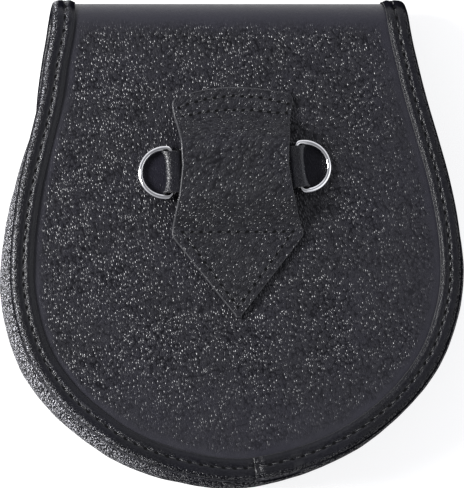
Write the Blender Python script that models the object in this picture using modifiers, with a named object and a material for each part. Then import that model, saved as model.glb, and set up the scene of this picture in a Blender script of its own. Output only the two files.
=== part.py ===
"""Sporran pouch of black leather, lying on its flap with its back up.

+X is the wearer's side shown on the right when looking at the back, +Y runs
from the round bottom to the fold over the top, +Z comes up out of the surface
that the flap lies on. All driving sizes below are in millimetres.
"""

import math

import bmesh
import bpy
from mathutils import Matrix, Vector

MM = 0.001

# ---------------------------------------------------------------- leathers
LEATHER = 2.0  # back, flap and front
GUSSET_LEATHER = 1.5
BINDING_LEATHER = 1.2
LOOP_LEATHER = 2.2
TAB_LEATHER = 1.2
GAP = 0.3  # air between neighbouring pieces

# ---------------------------------------------------------------- the bend
BACK_SLOPE = math.radians(3.9)  # the pouch is a wedge, thicker at the bottom
FOLD_RADIUS = 10.5  # middle of the leather, over the top
FLAP_LIFT = BINDING_LEATHER + GAP + LEATHER / 2  # middle of the flap above the surface
FOLD_LENGTH = FOLD_RADIUS * (math.pi - BACK_SLOPE)
FOLD_Y = 90.0  # centre of the fold
FOLD_Z = FLAP_LIFT + FOLD_RADIUS

# outline of the back, to the outside of its binding; the two sides differ a little
BACK_OUTLINE = (
    # down the back, half width left, half width right
    (186.2, 27.6, 23.4),
    (178.0, 48.6, 44.6),
    (168.0, 63.0, 60.2),
    (156.0, 75.8, 73.3),
    (141.0, 86.0, 84.2),
    (125.0, 91.6, 90.7),
    (111.0, 94.0, 93.8),
    (98.0, 94.1, 94.4),
    (82.0, 92.7, 93.2),
    (65.0, 89.7, 90.3),
    (48.0, 85.5, 86.2),
    (31.0, 81.3, 81.8),
    (14.0, 78.5, 78.1),
    (0.0, 75.7, 75.5),
)
BOTTOM = (190.3, -1.5)  # down, across: lowest point
FOLD_HALF_WIDTH = 74.6
# outline of the flap, to the outside of its binding
FLAP_OUTLINE = (
    # down the flap, half width left, half width right
    (0.0, 76.4, 75.4),
    (11.0, 78.4, 76.9),
    (28.0, 80.8, 78.9),
    (50.0, 81.8, 80.2),
    (72.0, 80.6, 79.4),
    (92.0, 75.9, 75.0),
    (108.0, 66.8, 66.2),
    (120.0, 51.4, 51.0),
    (128.0, 29.0, 29.0),
)
FLAP_END = 131.0
LOWER_CORNER = 3  # row of BACK_OUTLINE where the round bottom meets the sides
FLAP_CORNER = 6  # row of FLAP_OUTLINE where the flap's round end begins

# how far the gusset bellies out past the outline of the back
BELLY = (
    # down the back, outward left, outward right
    (0.0, -5.0, -5.0),
    (30.0, -2.5, -2.5),
    (52.0, 0.0, 0.0),
    (68.0, 0.9, 0.9),
    (84.0, 2.1, 2.0),
    (103.0, 3.2, 2.8),
    (141.0, 3.8, 2.6),
    (160.0, 3.6, 2.0),
    (200.0, 2.8, 2.2),
)

# ---------------------------------------------------------------- binding
RIM_INSET = 2.1  # leather edge inside the binding's outer edge
BINDING_OUTER_LEG = 9.3
BINDING_INNER_LEG = 8.3
BINDING_NOSE = 1.8  # depth of the rolled edge, middle of the leather
BINDING_RISE = LEATHER / 2 + GAP + BINDING_LEATHER / 2
FLANGE_STACK = GAP + GUSSET_LEATHER
LAP_START = 22.0  # under end, right of the middle at the bottom
LAP_END = 6.5  # over end
LAP_RAMP = 6.5
LAP_RISE = BINDING_LEATHER + GAP
ROLL_STEPS = 5

# ---------------------------------------------------------------- gusset
GUSSET_TOP = 12.0
GUSSET_FRONT_Z = FLAP_LIFT + LEATHER / 2 + 2 * GAP + BINDING_LEATHER + LEATHER + GAP + GUSSET_LEATHER / 2
GUSSET_SECTION = (
    # share of the depth, inset past the belly, inset from the outline
    (0.00, None, 2.6),
    (0.00, None, 9.6),
    (0.06, None, 11.1),
    (0.17, None, 10.2),
    (0.30, 4.4, None),
    (0.46, 0.8, None),
    (0.70, 0.4, None),
    (0.90, 1.6, None),
    (1.00, 3.8, None),
    (1.00, 12.0, None),
)

# ---------------------------------------------------------------- front
FRONT_Z = GUSSET_FRONT_Z - GUSSET_LEATHER / 2 - GAP - LEATHER / 2
FRONT_INSET = 1.4
MOUTH = 34.0  # free top edge of the front, down from the fold
MOUTH_DIP = 7.0

# ---------------------------------------------------------------- belt loop
LOOP_OUTLINE = (
    # down the back, left edge, right edge
    (32.0, -25.9, 24.8),
    (36.0, -26.2, 24.2),
    (43.3, -24.6, 22.6),
    (52.0, -23.8, 21.0),
    (61.0, -23.5, 20.6),
    (72.0, -24.9, 22.1),
    (78.0, -26.0, 24.0),
    (84.0, -27.0, 26.2),
    (87.8, -27.5, 27.3),
    (89.3, -27.1, 27.0),
    (91.2, -25.7, 25.6),
    (121.6, -2.2, 1.0),
    (122.9, -1.5, 0.3),
)
LOOP_ARCH = 5.6  # the top edge is arched up by this much
LOOP_CORNER = 1.5
LOOP_LIFT = 10.6  # belt room behind the loop, over the folds of the ring tabs
LOOP_RISE = (38.4, 51.6)
LOOP_FALL = (72.4, 86.7)
LOOP_ROUND = 3.0  # length over which the loop bends into and out of a slope

# ---------------------------------------------------------------- rings
WIRE = 2.2
CHANNEL = 1.4  # radius of the tab's fold, inside
RING_HALF = 10.15  # half height of the wire's middle line
RING_CORNER = 2.3
RING_DEPTH = 13.2  # bar to bow, middle of the wire
AXIS_LIFT = GAP + TAB_LEATHER + CHANNEL
TAB_WIDTH = 16.9
TAB_FLAT = 2.0  # flat top of the tab, in from the bar
TAB_FALL = 4.2  # and the run in which it comes down on its own tail
TAB_TAIL = 18.5
TAB_FLARE = 1.5  # the fold stands out further at both ends of the bar
TABS = (
    # name, side, across, down the back, turned (degrees), slack of the fold
    ("left", -1, -26.75, 62.3, 0.6, 0.35),
    ("right", 1, 25.8, 60.35, 5.5, 0.0),
)

SNAP_RADIUS = 7.0
SNAP_THICK = 1.2
SNAP_DOWN = 112.0

# ---------------------------------------------------------------- meshing
ACROSS = 9  # half of the facets over a round end
BACK_FACETS = 17
FOLD_FACETS = 9
FLAP_FACETS = 11

COLLECTION = "sporran_pouch"
LEATHER_BLACK = (0.022, 0.022, 0.026, 1.0)
STEEL = (0.62, 0.62, 0.64, 1.0)


# ================================================================ helpers
def material(name, colour, rough, metal=0.0):
    made = bpy.data.materials.new(name)
    made.use_nodes = True
    shader = made.node_tree.nodes["Principled BSDF"]
    shader.inputs["Base Color"].default_value = colour
    shader.inputs["Roughness"].default_value = rough
    shader.inputs["Metallic"].default_value = metal
    made.diffuse_color = colour
    return made


def add(name, data, mat, home, parent=None, matrix=None):
    obj = bpy.data.objects.new(name, data)
    home.objects.link(obj)
    if mat is not None:
        data.materials.append(mat)
    if parent is not None:
        obj.parent = parent
    if matrix is not None:
        obj.matrix_local = matrix
    return obj


def mix(a, b, share):
    return a + (b - a) * share


def ease(share):
    share = min(1.0, max(0.0, share))
    return share * share * (3.0 - 2.0 * share)


def looked_up(rows, at, left):
    """Value of a three-column table at a value of column 1; left is 1 on the left side."""
    at = min(max(at, rows[0][0]), rows[-1][0])
    for low, high in zip(rows, rows[1:]):
        if at <= high[0]:
            share = (at - low[0]) / (high[0] - low[0])
            return mix(mix(low[2], high[2], share), mix(low[1], high[1], share), left)


def belly(spot):
    return looked_up(BELLY, -spot.y, ease(0.5 - spot.x / 90.0))


def smooth_loop(points, steps):
    """Rounded closed line through 2-D points, and where each point sits in it."""
    count = len(points)
    line, marks = [], []
    for i in range(count):
        p0, p1, p2, p3 = (points[(i + k) % count] for k in (-1, 0, 1, 2))
        t0 = 0.0
        t1 = t0 + math.sqrt((p1 - p0).length)
        t2 = t1 + math.sqrt((p2 - p1).length)
        t3 = t2 + math.sqrt((p3 - p2).length)
        marks.append(len(line))
        for k in range(steps):
            t = mix(t1, t2, k / steps)
            a1 = p0 * ((t1 - t) / (t1 - t0)) + p1 * ((t - t0) / (t1 - t0))
            a2 = p1 * ((t2 - t) / (t2 - t1)) + p2 * ((t - t1) / (t2 - t1))
            a3 = p2 * ((t3 - t) / (t3 - t2)) + p3 * ((t - t2) / (t3 - t2))
            b1 = a1 * ((t2 - t) / (t2 - t0)) + a2 * ((t - t0) / (t2 - t0))
            b2 = a2 * ((t3 - t) / (t3 - t1)) + a3 * ((t - t1) / (t3 - t1))
            line.append(b1 * ((t2 - t) / (t2 - t1)) + b2 * ((t - t1) / (t2 - t1)))
    return line, marks


class Rim:
    """Outline of the leather laid flat, outside of the binding: x across, s along it.

    s is 0 where the fold starts, negative down the back and positive over the
    fold and down the flap. Distances run from the middle of the bottom up the
    right side to the end of the flap, then back down the left side.
    """

    def __init__(self):
        right = [Vector((row[2], -row[0])) for row in BACK_OUTLINE]
        left = [Vector((-row[1], -row[0])) for row in BACK_OUTLINE]
        for side, sign, column in ((right, 1.0, 2), (left, -1.0, 1)):
            side.append(Vector((sign * FOLD_HALF_WIDTH, FOLD_LENGTH / 2)))
            for row in FLAP_OUTLINE:
                side.append(Vector((sign * row[column], FOLD_LENGTH + row[0])))
        bottom = Vector((BOTTOM[1], -BOTTOM[0]))
        end = Vector((0.0, FOLD_LENGTH + FLAP_END))
        line, marks = smooth_loop([bottom, *right, end, *reversed(left)], 20)
        fold = len(BACK_OUTLINE)
        rows = (0, LOWER_CORNER + 1, fold, fold + 2, fold + 2 + FLAP_CORNER)
        ends = [*rows, len(right) + 1]
        ends += [len(marks) - row for row in reversed(rows[1:])]
        self.points = line
        self.at = [0.0]
        for a, b in zip(line, line[1:] + line[:1]):
            self.at.append(self.at[-1] + (b - a).length)
        self.length = self.at[-1]
        stops = [self.at[marks[k]] for k in ends] + [self.length]
        counts = (ACROSS, BACK_FACETS, FOLD_FACETS, FLAP_FACETS, ACROSS)
        self.stations = []
        for a, b, count in zip(stops, stops[1:], counts + counts[::-1]):
            self.stations += [mix(a, b, k / count) for k in range(count)]

    def point(self, at, inset=0.0):
        """Point of the outline at a distance, moved inward square to it."""
        at = at % self.length
        low, high = 0, len(self.points)
        while high - low > 1:
            middle = (low + high) // 2
            if self.at[middle] <= at:
                low = middle
            else:
                high = middle
        count = len(self.points)
        a, b = self.points[low], self.points[(low + 1) % count]
        share = (at - self.at[low]) / (self.at[low + 1] - self.at[low])
        before = self.points[low - 1]
        after = self.points[(low + 2) % count]
        way = mix((b - before).normalized(), (after - a).normalized(), share)
        way.normalize()
        here = a.lerp(b, share)
        return here - Vector((way.y, -way.x)) * inset


def bent(x, s, lift=0.0):
    """The flat leather bent to shape: x across, s along, lift outward."""
    if s <= 0.0:
        out = Vector((0.0, math.sin(BACK_SLOPE), math.cos(BACK_SLOPE)))
        along = Vector((0.0, math.cos(BACK_SLOPE), -math.sin(BACK_SLOPE)))
        spot = Vector((x, FOLD_Y, FOLD_Z)) + out * FOLD_RADIUS + along * s
    elif s < FOLD_LENGTH:
        turn = BACK_SLOPE + s / FOLD_RADIUS
        out = Vector((0.0, math.sin(turn), math.cos(turn)))
        spot = Vector((x, FOLD_Y, FOLD_Z)) + out * FOLD_RADIUS
    else:
        out = Vector((0.0, 0.0, -1.0))
        spot = Vector((x, FOLD_Y - (s - FOLD_LENGTH), FLAP_LIFT))
    return spot + out * lift


def back_frame(across, down, lift, turned=0.0):
    """Axes on the back's outer face: x across, y up the back, z out of it."""
    spot = bent(across, -down, LEATHER / 2 + lift) * MM
    tilt = Matrix.Rotation(-BACK_SLOPE, 4, "X")
    return Matrix.Translation(spot) @ tilt @ Matrix.Rotation(turned, 4, "Z")


def shell(name, rows, thick, mat, home, parent, smooth=True):
    """Open surface through rows of points, thickened evenly to both sides."""
    mesh = bpy.data.meshes.new(name)
    bm = bmesh.new()
    verts = [[bm.verts.new(p * MM) for p in row] for row in rows]
    for a, b in zip(verts, verts[1:]):
        for i in range(len(a) - 1):
            bm.faces.new((a[i], a[i + 1], b[i + 1], b[i]))
    bmesh.ops.recalc_face_normals(bm, faces=bm.faces)
    for face in bm.faces:
        face.smooth = smooth
    bm.to_mesh(mesh)
    bm.free()
    obj = add(name, mesh, mat, home, parent)
    solid = obj.modifiers.new("leather", "SOLIDIFY")
    solid.thickness = thick * MM
    solid.offset = 0.0
    solid.use_even_offset = True
    solid.use_rim = True
    return obj


def patch(bottom, left, right, top, low_weight, high_weight):
    """Rows between two sides; the shape of the two ends fades by its weight."""
    rows = []
    steps = len(bottom) - 1
    for j, (a, b) in enumerate(zip(left, right)):
        row = []
        for i in range(steps + 1):
            u = i / steps
            spot = a.lerp(b, u)
            spot = spot + (bottom[i] - left[0].lerp(right[0], u)) * low_weight[j]
            spot = spot + (top[i] - left[-1].lerp(right[-1], u)) * high_weight[j]
            row.append(spot)
        rows.append(row)
    return rows


# ================================================================ pieces
def rim_runs(rim, inset):
    """Rim points of the sheet: round bottom, both sides, round flap end."""
    pts = [rim.point(d, inset) for d in rim.stations]
    count = len(pts)
    side = BACK_FACETS + FOLD_FACETS + FLAP_FACETS
    bottom = [pts[i % count] for i in range(-ACROSS, ACROSS + 1)]
    right = pts[ACROSS : ACROSS + side + 1]
    top = pts[ACROSS + side : ACROSS + side + 2 * ACROSS + 1][::-1]
    left = [pts[(-i) % count] for i in range(ACROSS, ACROSS + side + 1)]
    return bottom, left, right, top


def back_and_flap(rim, mat, home, parent):
    bottom, left, right, top = rim_runs(rim, RIM_INSET)
    low = [ease((0.0 - p.y) / (0.0 - right[0].y)) if p.y < 0.0 else 0.0 for p in right]
    high = [
        ease((p.y - FOLD_LENGTH) / (right[-1].y - FOLD_LENGTH))
        if p.y > FOLD_LENGTH
        else 0.0
        for p in right
    ]
    flat = patch(bottom, left, right, top, low, high)
    rows = [[bent(p.x, p.y) for p in row] for row in flat]
    return shell("back_and_flap", rows, LEATHER, mat, home, parent)


def binding_section(stack, rise):
    """Folded strip, middle of its leather: inset from the outline, lift."""
    high = BINDING_RISE + rise
    middle = -stack / 2
    reach = BINDING_RISE + stack / 2 + rise
    nose = BINDING_NOSE + rise
    centre = BINDING_NOSE + BINDING_LEATHER / 2
    rows = [(BINDING_OUTER_LEG, high)]
    for k in range(ROLL_STEPS + 1):
        turn = math.pi * k / ROLL_STEPS
        rows.append((centre - nose * math.sin(turn), middle + reach * math.cos(turn)))
    rows.append((BINDING_INNER_LEG, middle - reach))
    return rows


def edge_binding(rim, mat, home, parent):
    stops = [d for d in rim.stations if not 0.1 < d < LAP_START]
    path = [LAP_START, 16.0, LAP_END, 0.0]
    path += [d - rim.length for d in sorted(stops, reverse=True) if d > LAP_START + LAP_RAMP + 2]
    path += [LAP_START + LAP_RAMP - rim.length]
    path += [LAP_START + share * LAP_RAMP - rim.length for share in (0.66, 0.33, 0.0)]
    path += [16.0 - rim.length, LAP_END - rim.length]
    path = sorted(path, reverse=True)
    rows = []
    for at in path:
        past_start = LAP_START + LAP_RAMP - rim.length - at
        rise = LAP_RISE * ease(past_start / LAP_RAMP)
        spot = rim.point(at)
        stack = FLANGE_STACK * ease((-spot.y - 3.0) / 8.0)
        row = []
        for inset, lift in binding_section(stack, rise):
            flat = rim.point(at, inset)
            row.append(bent(flat.x, flat.y, lift))
        rows.append(row)
    return shell("edge_binding", rows, BINDING_LEATHER, mat, home, parent)


def side_stations(rim, top):
    """Distances round the bottom from the left top to the right top."""
    count = 0
    while rim.point(rim.stations[count + 1]).y <= -top:
        count += 1
    left = [d - rim.length for d in rim.stations[-count:]]
    return left + rim.stations[: count + 1]


def body_point(rim, at, section):
    """Point of the gusset's middle: inset in plan, share of the depth."""
    share, past_belly, inset = section
    spot = rim.point(at)
    if inset is None:
        inset = past_belly - belly(spot)
    flat = rim.point(at, inset)
    back = bent(flat.x, min(flat.y, 0.0), -(LEATHER / 2 + GAP + GUSSET_LEATHER / 2))
    return Vector((flat.x, back.y, mix(back.z, GUSSET_FRONT_Z, share)))


def gusset(rim, mat, home, parent):
    rows = [
        [body_point(rim, at, section) for section in GUSSET_SECTION]
        for at in side_stations(rim, GUSSET_TOP)
    ]
    return shell("gusset", rows, GUSSET_LEATHER, mat, home, parent)


def front_panel(rim, mat, home, parent):
    def edge(at):
        spot = rim.point(at)
        flat = rim.point(at, FRONT_INSET - belly(spot))
        return Vector((flat.x, bent(flat.x, flat.y).y, FRONT_Z))

    run = side_stations(rim, MOUTH)
    pts = [edge(at) for at in run]
    side = (len(pts) - 1) // 2 - ACROSS
    bottom = pts[side : side + 2 * ACROSS + 1]
    left = pts[side::-1]
    right = pts[side + 2 * ACROSS :]
    top = []
    for i in range(2 * ACROSS + 1):
        u = i / (2 * ACROSS)
        spot = left[-1].lerp(right[-1], u)
        top.append(spot - Vector((0.0, MOUTH_DIP * math.sin(math.pi * u) ** 2, 0.0)))
    last = len(left) - 1
    low = [(1 - j / last) ** 1.3 for j in range(last + 1)]
    high = [(j / last) ** 3 for j in range(last + 1)]
    rows = patch(bottom, left, right, top, low, high)
    return shell("front_panel", rows, LEATHER, mat, home, parent)


def even_slope(down, start, end):
    """0 to 1 along a straight slope that is rounded at its foot and its top."""
    run, bend = end - start, LOOP_ROUND
    at = min(max(down - start, 0.0), run)
    steep = 1.0 / (run - bend)
    if at < bend:
        return steep * at * at / (2.0 * bend)
    if at > run - bend:
        return 1.0 - steep * (run - at) ** 2 / (2.0 * bend)
    return steep * (at - bend / 2.0)


def loop_lift(down):
    up = even_slope(down, *LOOP_RISE)
    fall = even_slope(down, *LOOP_FALL)
    return GAP + (LOOP_LIFT - GAP) * up * (1.0 - fall)


def loop_edges(down):
    for low, high in zip(LOOP_OUTLINE, LOOP_OUTLINE[1:]):
        if down <= high[0] + 1e-6:
            share = (down - low[0]) / (high[0] - low[0])
            return mix(low[1], high[1], share), mix(low[2], high[2], share)


def belt_loop(mat, home, parent):
    across = 12
    downs = [LOOP_OUTLINE[0][0], 35.2]
    half = LOOP_ROUND / 2
    for start, end in (LOOP_RISE, LOOP_FALL):
        downs += [start, start + half, start + 2 * half]
        downs += [end - 2 * half, end - half, end]
        if start == LOOP_RISE[0]:
            downs += [56.0, 61.0, 67.0]
    downs += [87.8, 89.3, 91.2, 97.0, 104.0, 111.0, 117.0, 121.6, 122.9]
    rows = []
    for j, down in enumerate(downs):
        a, b = loop_edges(down)
        arch = LOOP_ARCH * max(0.0, 1.0 - (down - downs[0]) / 16.0)
        row = []
        for i in range(across + 1):
            u = i / across
            x = mix(a, b, u)
            if j == 0:
                x = min(max(x, a + LOOP_CORNER), b - LOOP_CORNER)
            up = arch * (1.0 - (2.0 * u - 1.0) ** 2)
            lift = LEATHER / 2 + LOOP_LEATHER / 2 + loop_lift(down - up)
            row.append(bent(x, up - down, lift))
        rows.append(row)
    return shell("belt_loop", rows, LOOP_LEATHER, mat, home, parent)


def ring_tab(name, side, across, down, turned, slack, mat, home, parent):
    """Strip folded round the ring's bar; x runs out past the bar, z off the back."""
    middle = CHANNEL + TAB_LEATHER / 2
    upper = TAB_LEATHER * 1.5 + 2 * GAP - AXIS_LIFT
    rows = []
    for k in range(9):
        y = mix(-TAB_WIDTH / 2, TAB_WIDTH / 2, k / 8)
        out = middle + slack + TAB_FLARE * abs(2 * y / TAB_WIDTH) ** 3
        section = [(-TAB_TAIL, -middle), (-TAB_TAIL * 0.45, -middle), (0.0, -middle)]
        for turn in range(-75, 76, 15):
            turn = math.radians(turn)
            section.append((out * math.cos(turn), middle * math.sin(turn)))
        section += [(0.0, middle), (-TAB_FLAT, middle)]
        for share in (0.15, 0.3, 0.5, 0.7, 0.85, 1.0):
            z = mix(middle, upper, ease(share))
            section.append((-TAB_FLAT - TAB_FALL * share, z))
        section.append((-TAB_TAIL, upper))
        rows.append([Vector((side * px, y, pz)) for px, pz in section])
    obj = shell(name, rows, TAB_LEATHER, mat, home, parent)
    obj.matrix_local = back_frame(across, down, AXIS_LIFT, math.radians(turned))
    return obj


def d_ring(name, side, across, down, turned, mat, home, parent):
    """Wire bent to a D; its origin is on the bar, about which it swings."""
    pts = []
    straight = RING_HALF - RING_CORNER
    for k in range(4):
        pts.append((0.0, mix(-straight, straight, k / 3)))
    for k in range(1, 6):
        turn = math.radians(90.0) * k / 5
        pts.append(
            (RING_CORNER * (1 - math.cos(turn)), straight + RING_CORNER * math.sin(turn))
        )
    shoulder = RING_CORNER + 0.7
    bow = RING_DEPTH - shoulder
    for k in range(0, 19):
        turn = math.radians(90.0) - math.pi * k / 18
        pts.append((shoulder + bow * math.cos(turn), RING_HALF * math.sin(turn)))
    for k in range(5, 0, -1):
        turn = math.radians(90.0) * k / 5
        pts.append(
            (RING_CORNER * (1 - math.cos(turn)), -straight - RING_CORNER * math.sin(turn))
        )
    curve = bpy.data.curves.new(name, "CURVE")
    curve.dimensions = "3D"
    wire = curve.splines.new("POLY")
    wire.points.add(len(pts) - 1)
    for slot, (x, y) in zip(wire.points, pts):
        slot.co = (side * x * MM, y * MM, 0.0, 1.0)
    wire.use_cyclic_u = True
    curve.bevel_depth = WIRE / 2 * MM
    curve.bevel_resolution = 2
    # lying down: the bow rests on the back
    drop = math.asin((AXIS_LIFT - GAP - WIRE / 2) / RING_DEPTH)
    frame = back_frame(across, down, AXIS_LIFT, math.radians(turned))
    return add(
        name, curve, mat, home, parent, frame @ Matrix.Rotation(side * drop, 4, "Y")
    )


def flap_snap(mat, home, parent):
    bpy.ops.mesh.primitive_cylinder_add(
        vertices=28, radius=SNAP_RADIUS * MM, depth=SNAP_THICK * MM
    )
    obj = bpy.context.object
    obj.name = obj.data.name = "flap_snap"
    for held in list(obj.users_collection):
        held.objects.unlink(obj)
    home.objects.link(obj)
    obj.data.materials.append(mat)
    obj.parent = parent
    obj.location = (
        0.0,
        (FOLD_Y - SNAP_DOWN) * MM,
        (FLAP_LIFT + LEATHER / 2 + GAP + SNAP_THICK / 2) * MM,
    )
    edge = obj.modifiers.new("edge", "BEVEL")
    edge.width = 0.25 * MM
    edge.segments = 1
    return obj


def main():
    for old in list(bpy.data.objects):
        bpy.data.objects.remove(old, do_unlink=True)
    home = bpy.data.collections.new(COLLECTION)
    bpy.context.scene.collection.children.link(home)
    pouch = add("pouch", None, None, home)
    rim = Rim()
    back_and_flap(rim, material("back_leather", LEATHER_BLACK, 0.5), home, pouch)
    edge_binding(rim, material("binding_leather", LEATHER_BLACK, 0.4), home, pouch)
    gusset(rim, material("gusset_leather", LEATHER_BLACK, 0.45), home, pouch)
    front_panel(rim, material("front_leather", LEATHER_BLACK, 0.5), home, pouch)
    belt_loop(material("loop_leather", LEATHER_BLACK, 0.5), home, pouch)
    for word, side, across, down, turned, slack in TABS:
        ring_tab(
            "ring_tab_" + word, side, across, down, turned, slack,
            material("tab_leather_" + word, LEATHER_BLACK, 0.4), home, pouch,
        )
        d_ring(
            "d_ring_" + word, side, across, down, turned,
            material("ring_steel_" + word, STEEL, 0.18, 1.0), home, pouch,
        )
    flap_snap(material("snap_steel", STEEL, 0.3, 1.0), home, pouch)


main()
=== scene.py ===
"""Black leather sporran pouch lying on its flap, back up, under soft studio light.

Distances below are in millimetres unless a name says otherwise.
"""

import math

import bmesh
import bpy
import numpy as np
from mathutils import Matrix, Vector


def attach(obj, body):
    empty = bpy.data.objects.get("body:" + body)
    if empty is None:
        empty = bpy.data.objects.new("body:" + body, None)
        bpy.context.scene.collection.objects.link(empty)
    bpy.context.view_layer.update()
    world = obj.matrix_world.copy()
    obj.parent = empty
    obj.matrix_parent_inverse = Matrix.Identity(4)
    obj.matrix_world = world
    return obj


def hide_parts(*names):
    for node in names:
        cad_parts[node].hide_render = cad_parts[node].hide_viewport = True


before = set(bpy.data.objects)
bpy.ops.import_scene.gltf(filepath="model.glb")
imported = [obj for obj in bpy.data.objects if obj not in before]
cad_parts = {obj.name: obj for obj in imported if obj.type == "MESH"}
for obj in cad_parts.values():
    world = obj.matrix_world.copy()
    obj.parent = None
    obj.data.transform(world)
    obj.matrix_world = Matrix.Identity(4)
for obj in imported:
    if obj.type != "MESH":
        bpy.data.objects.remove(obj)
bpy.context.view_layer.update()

MM = 0.001

# ------------------------------------------------------------------ sizes
LEATHER = 2.0
GUSSET_LEATHER = 1.5
BINDING_LEATHER = 1.2
LOOP_LEATHER = 2.2
TAB_LEATHER = 1.2
GAP = 0.3

BACK_SLOPE = math.radians(3.9)
FOLD_RADIUS = 10.5
FLAP_LIFT = BINDING_LEATHER + GAP + LEATHER / 2
FOLD_LENGTH = FOLD_RADIUS * (math.pi - BACK_SLOPE)
FOLD_Y = 90.0
FOLD_Z = FLAP_LIFT + FOLD_RADIUS

BACK_OUTLINE = (
    # down the back, half width left, half width right
    (186.2, 27.6, 23.4),
    (178.0, 48.6, 44.6),
    (168.0, 63.0, 60.2),
    (156.0, 75.8, 73.3),
    (141.0, 86.0, 84.2),
    (125.0, 91.6, 90.7),
    (111.0, 94.0, 93.8),
    (98.0, 94.1, 94.4),
    (82.0, 92.7, 93.2),
    (65.0, 89.7, 90.3),
    (48.0, 85.5, 86.2),
    (31.0, 81.3, 81.8),
    (14.0, 78.5, 78.1),
    (0.0, 75.7, 75.5),
)
BOTTOM = (190.3, -1.5)
FOLD_HALF_WIDTH = 74.6
FLAP_OUTLINE = (
    # down the flap, half width left, half width right
    (0.0, 76.4, 75.4),
    (11.0, 78.4, 76.9),
    (28.0, 80.8, 78.9),
    (50.0, 81.8, 80.2),
    (72.0, 80.6, 79.4),
    (92.0, 75.9, 75.0),
    (108.0, 66.8, 66.2),
    (120.0, 51.4, 51.0),
    (128.0, 29.0, 29.0),
)
FLAP_END = 131.0
LOWER_CORNER = 3
FLAP_CORNER = 6
BELLY = (
    # down the back, outward left, outward right
    (0.0, -5.0, -5.0),
    (30.0, -2.5, -2.5),
    (52.0, 0.0, 0.0),
    (68.0, 0.9, 0.9),
    (84.0, 2.1, 2.0),
    (103.0, 3.2, 2.8),
    (141.0, 3.8, 2.6),
    (160.0, 3.6, 2.0),
    (200.0, 2.8, 2.2),
)

RIM_INSET = 2.1
BINDING_OUTER_LEG = 9.3
BINDING_INNER_LEG = 8.3
BINDING_RISE = LEATHER / 2 + GAP + BINDING_LEATHER / 2
FLANGE_STACK = GAP + GUSSET_LEATHER
LAP_START = 22.0
LAP_END = 6.5
LAP_RAMP = 6.5
LAP_RISE = BINDING_LEATHER + GAP
SEAM_INSET = 5.4
SEAM_PITCH = 4.95

GUSSET_TOP = 12.0
GUSSET_FRONT_Z = (
    FLAP_LIFT + LEATHER / 2 + 2 * GAP + BINDING_LEATHER + LEATHER + GAP + GUSSET_LEATHER / 2
)
GUSSET_SECTION = (
    # share of the depth, inset past the belly, inset from the outline
    (0.00, None, 2.6),
    (0.00, None, 9.6),
    (0.06, None, 11.1),
    (0.17, None, 10.2),
    (0.30, 4.4, None),
    (0.46, 0.8, None),
    (0.70, 0.4, None),
    (0.90, 1.6, None),
    (1.00, 3.8, None),
    (1.00, 12.0, None),
)
FRONT_Z = GUSSET_FRONT_Z - GUSSET_LEATHER / 2 - GAP - LEATHER / 2
FRONT_INSET = 1.4
MOUTH = 34.0
MOUTH_DIP = 7.0

LOOP_OUTLINE = (
    # down the back, left edge, right edge
    (32.0, -25.9, 24.8),
    (36.0, -26.2, 24.2),
    (43.3, -24.6, 22.6),
    (52.0, -23.8, 21.0),
    (61.0, -23.5, 20.6),
    (72.0, -24.9, 22.1),
    (78.0, -26.0, 24.0),
    (84.0, -27.0, 26.2),
    (87.8, -27.5, 27.3),
    (89.3, -27.1, 27.0),
    (91.2, -25.7, 25.6),
    (121.6, -2.2, 1.0),
    (122.9, -1.5, 0.3),
)
LOOP_ARCH = 5.6
LOOP_CORNER = 2.5
LOOP_SHOULDERS = (1.5, 2.7)
LOOP_LIFT = 10.6
LOOP_RISE = (38.4, 51.6)
LOOP_FALL = (72.4, 86.7)
LOOP_ROUND = 3.0

WIRE = 2.2
CHANNEL = 1.4
RING_HALF = 10.15
RING_CORNER = 2.3
RING_DEPTH = 13.2
AXIS_LIFT = GAP + TAB_LEATHER + CHANNEL
TAB_WIDTH = 17.3
TAB_FLAT = 2.0
TAB_FALL = 4.2
TAB_TAIL = 18.5
TAB_FLARE = 1.5
TABS = (
    # name, side, across, down the back, turned (degrees), slack of the fold
    ("left", -1, -26.75, 62.3, 0.6, 0.35),
    ("right", 1, 25.8, 60.35, 5.5, 0.0),
)

SNAP_RADIUS = 7.0
SNAP_THICK = 1.2
SNAP_DOWN = 112.0

rand = np.random.default_rng(7)


# ================================================================ shaping
def mix(a, b, share):
    return a + (b - a) * share


def ease(share):
    share = np.clip(share, 0.0, 1.0)
    return share * share * (3.0 - 2.0 * share)


def unit(v):
    return v / np.maximum(np.linalg.norm(v, axis=-1, keepdims=True), 1e-12)


def column(rows, index):
    return np.array([row[index] for row in rows], float)


def belly(spot):
    """How far the gusset stands out past the outline, for points (x, s)."""
    down = -spot[..., 1]
    left = ease(0.5 - spot[..., 0] / 90.0)
    at_left = np.interp(down, column(BELLY, 0), column(BELLY, 1))
    at_right = np.interp(down, column(BELLY, 0), column(BELLY, 2))
    return mix(at_right, at_left, left)


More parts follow.
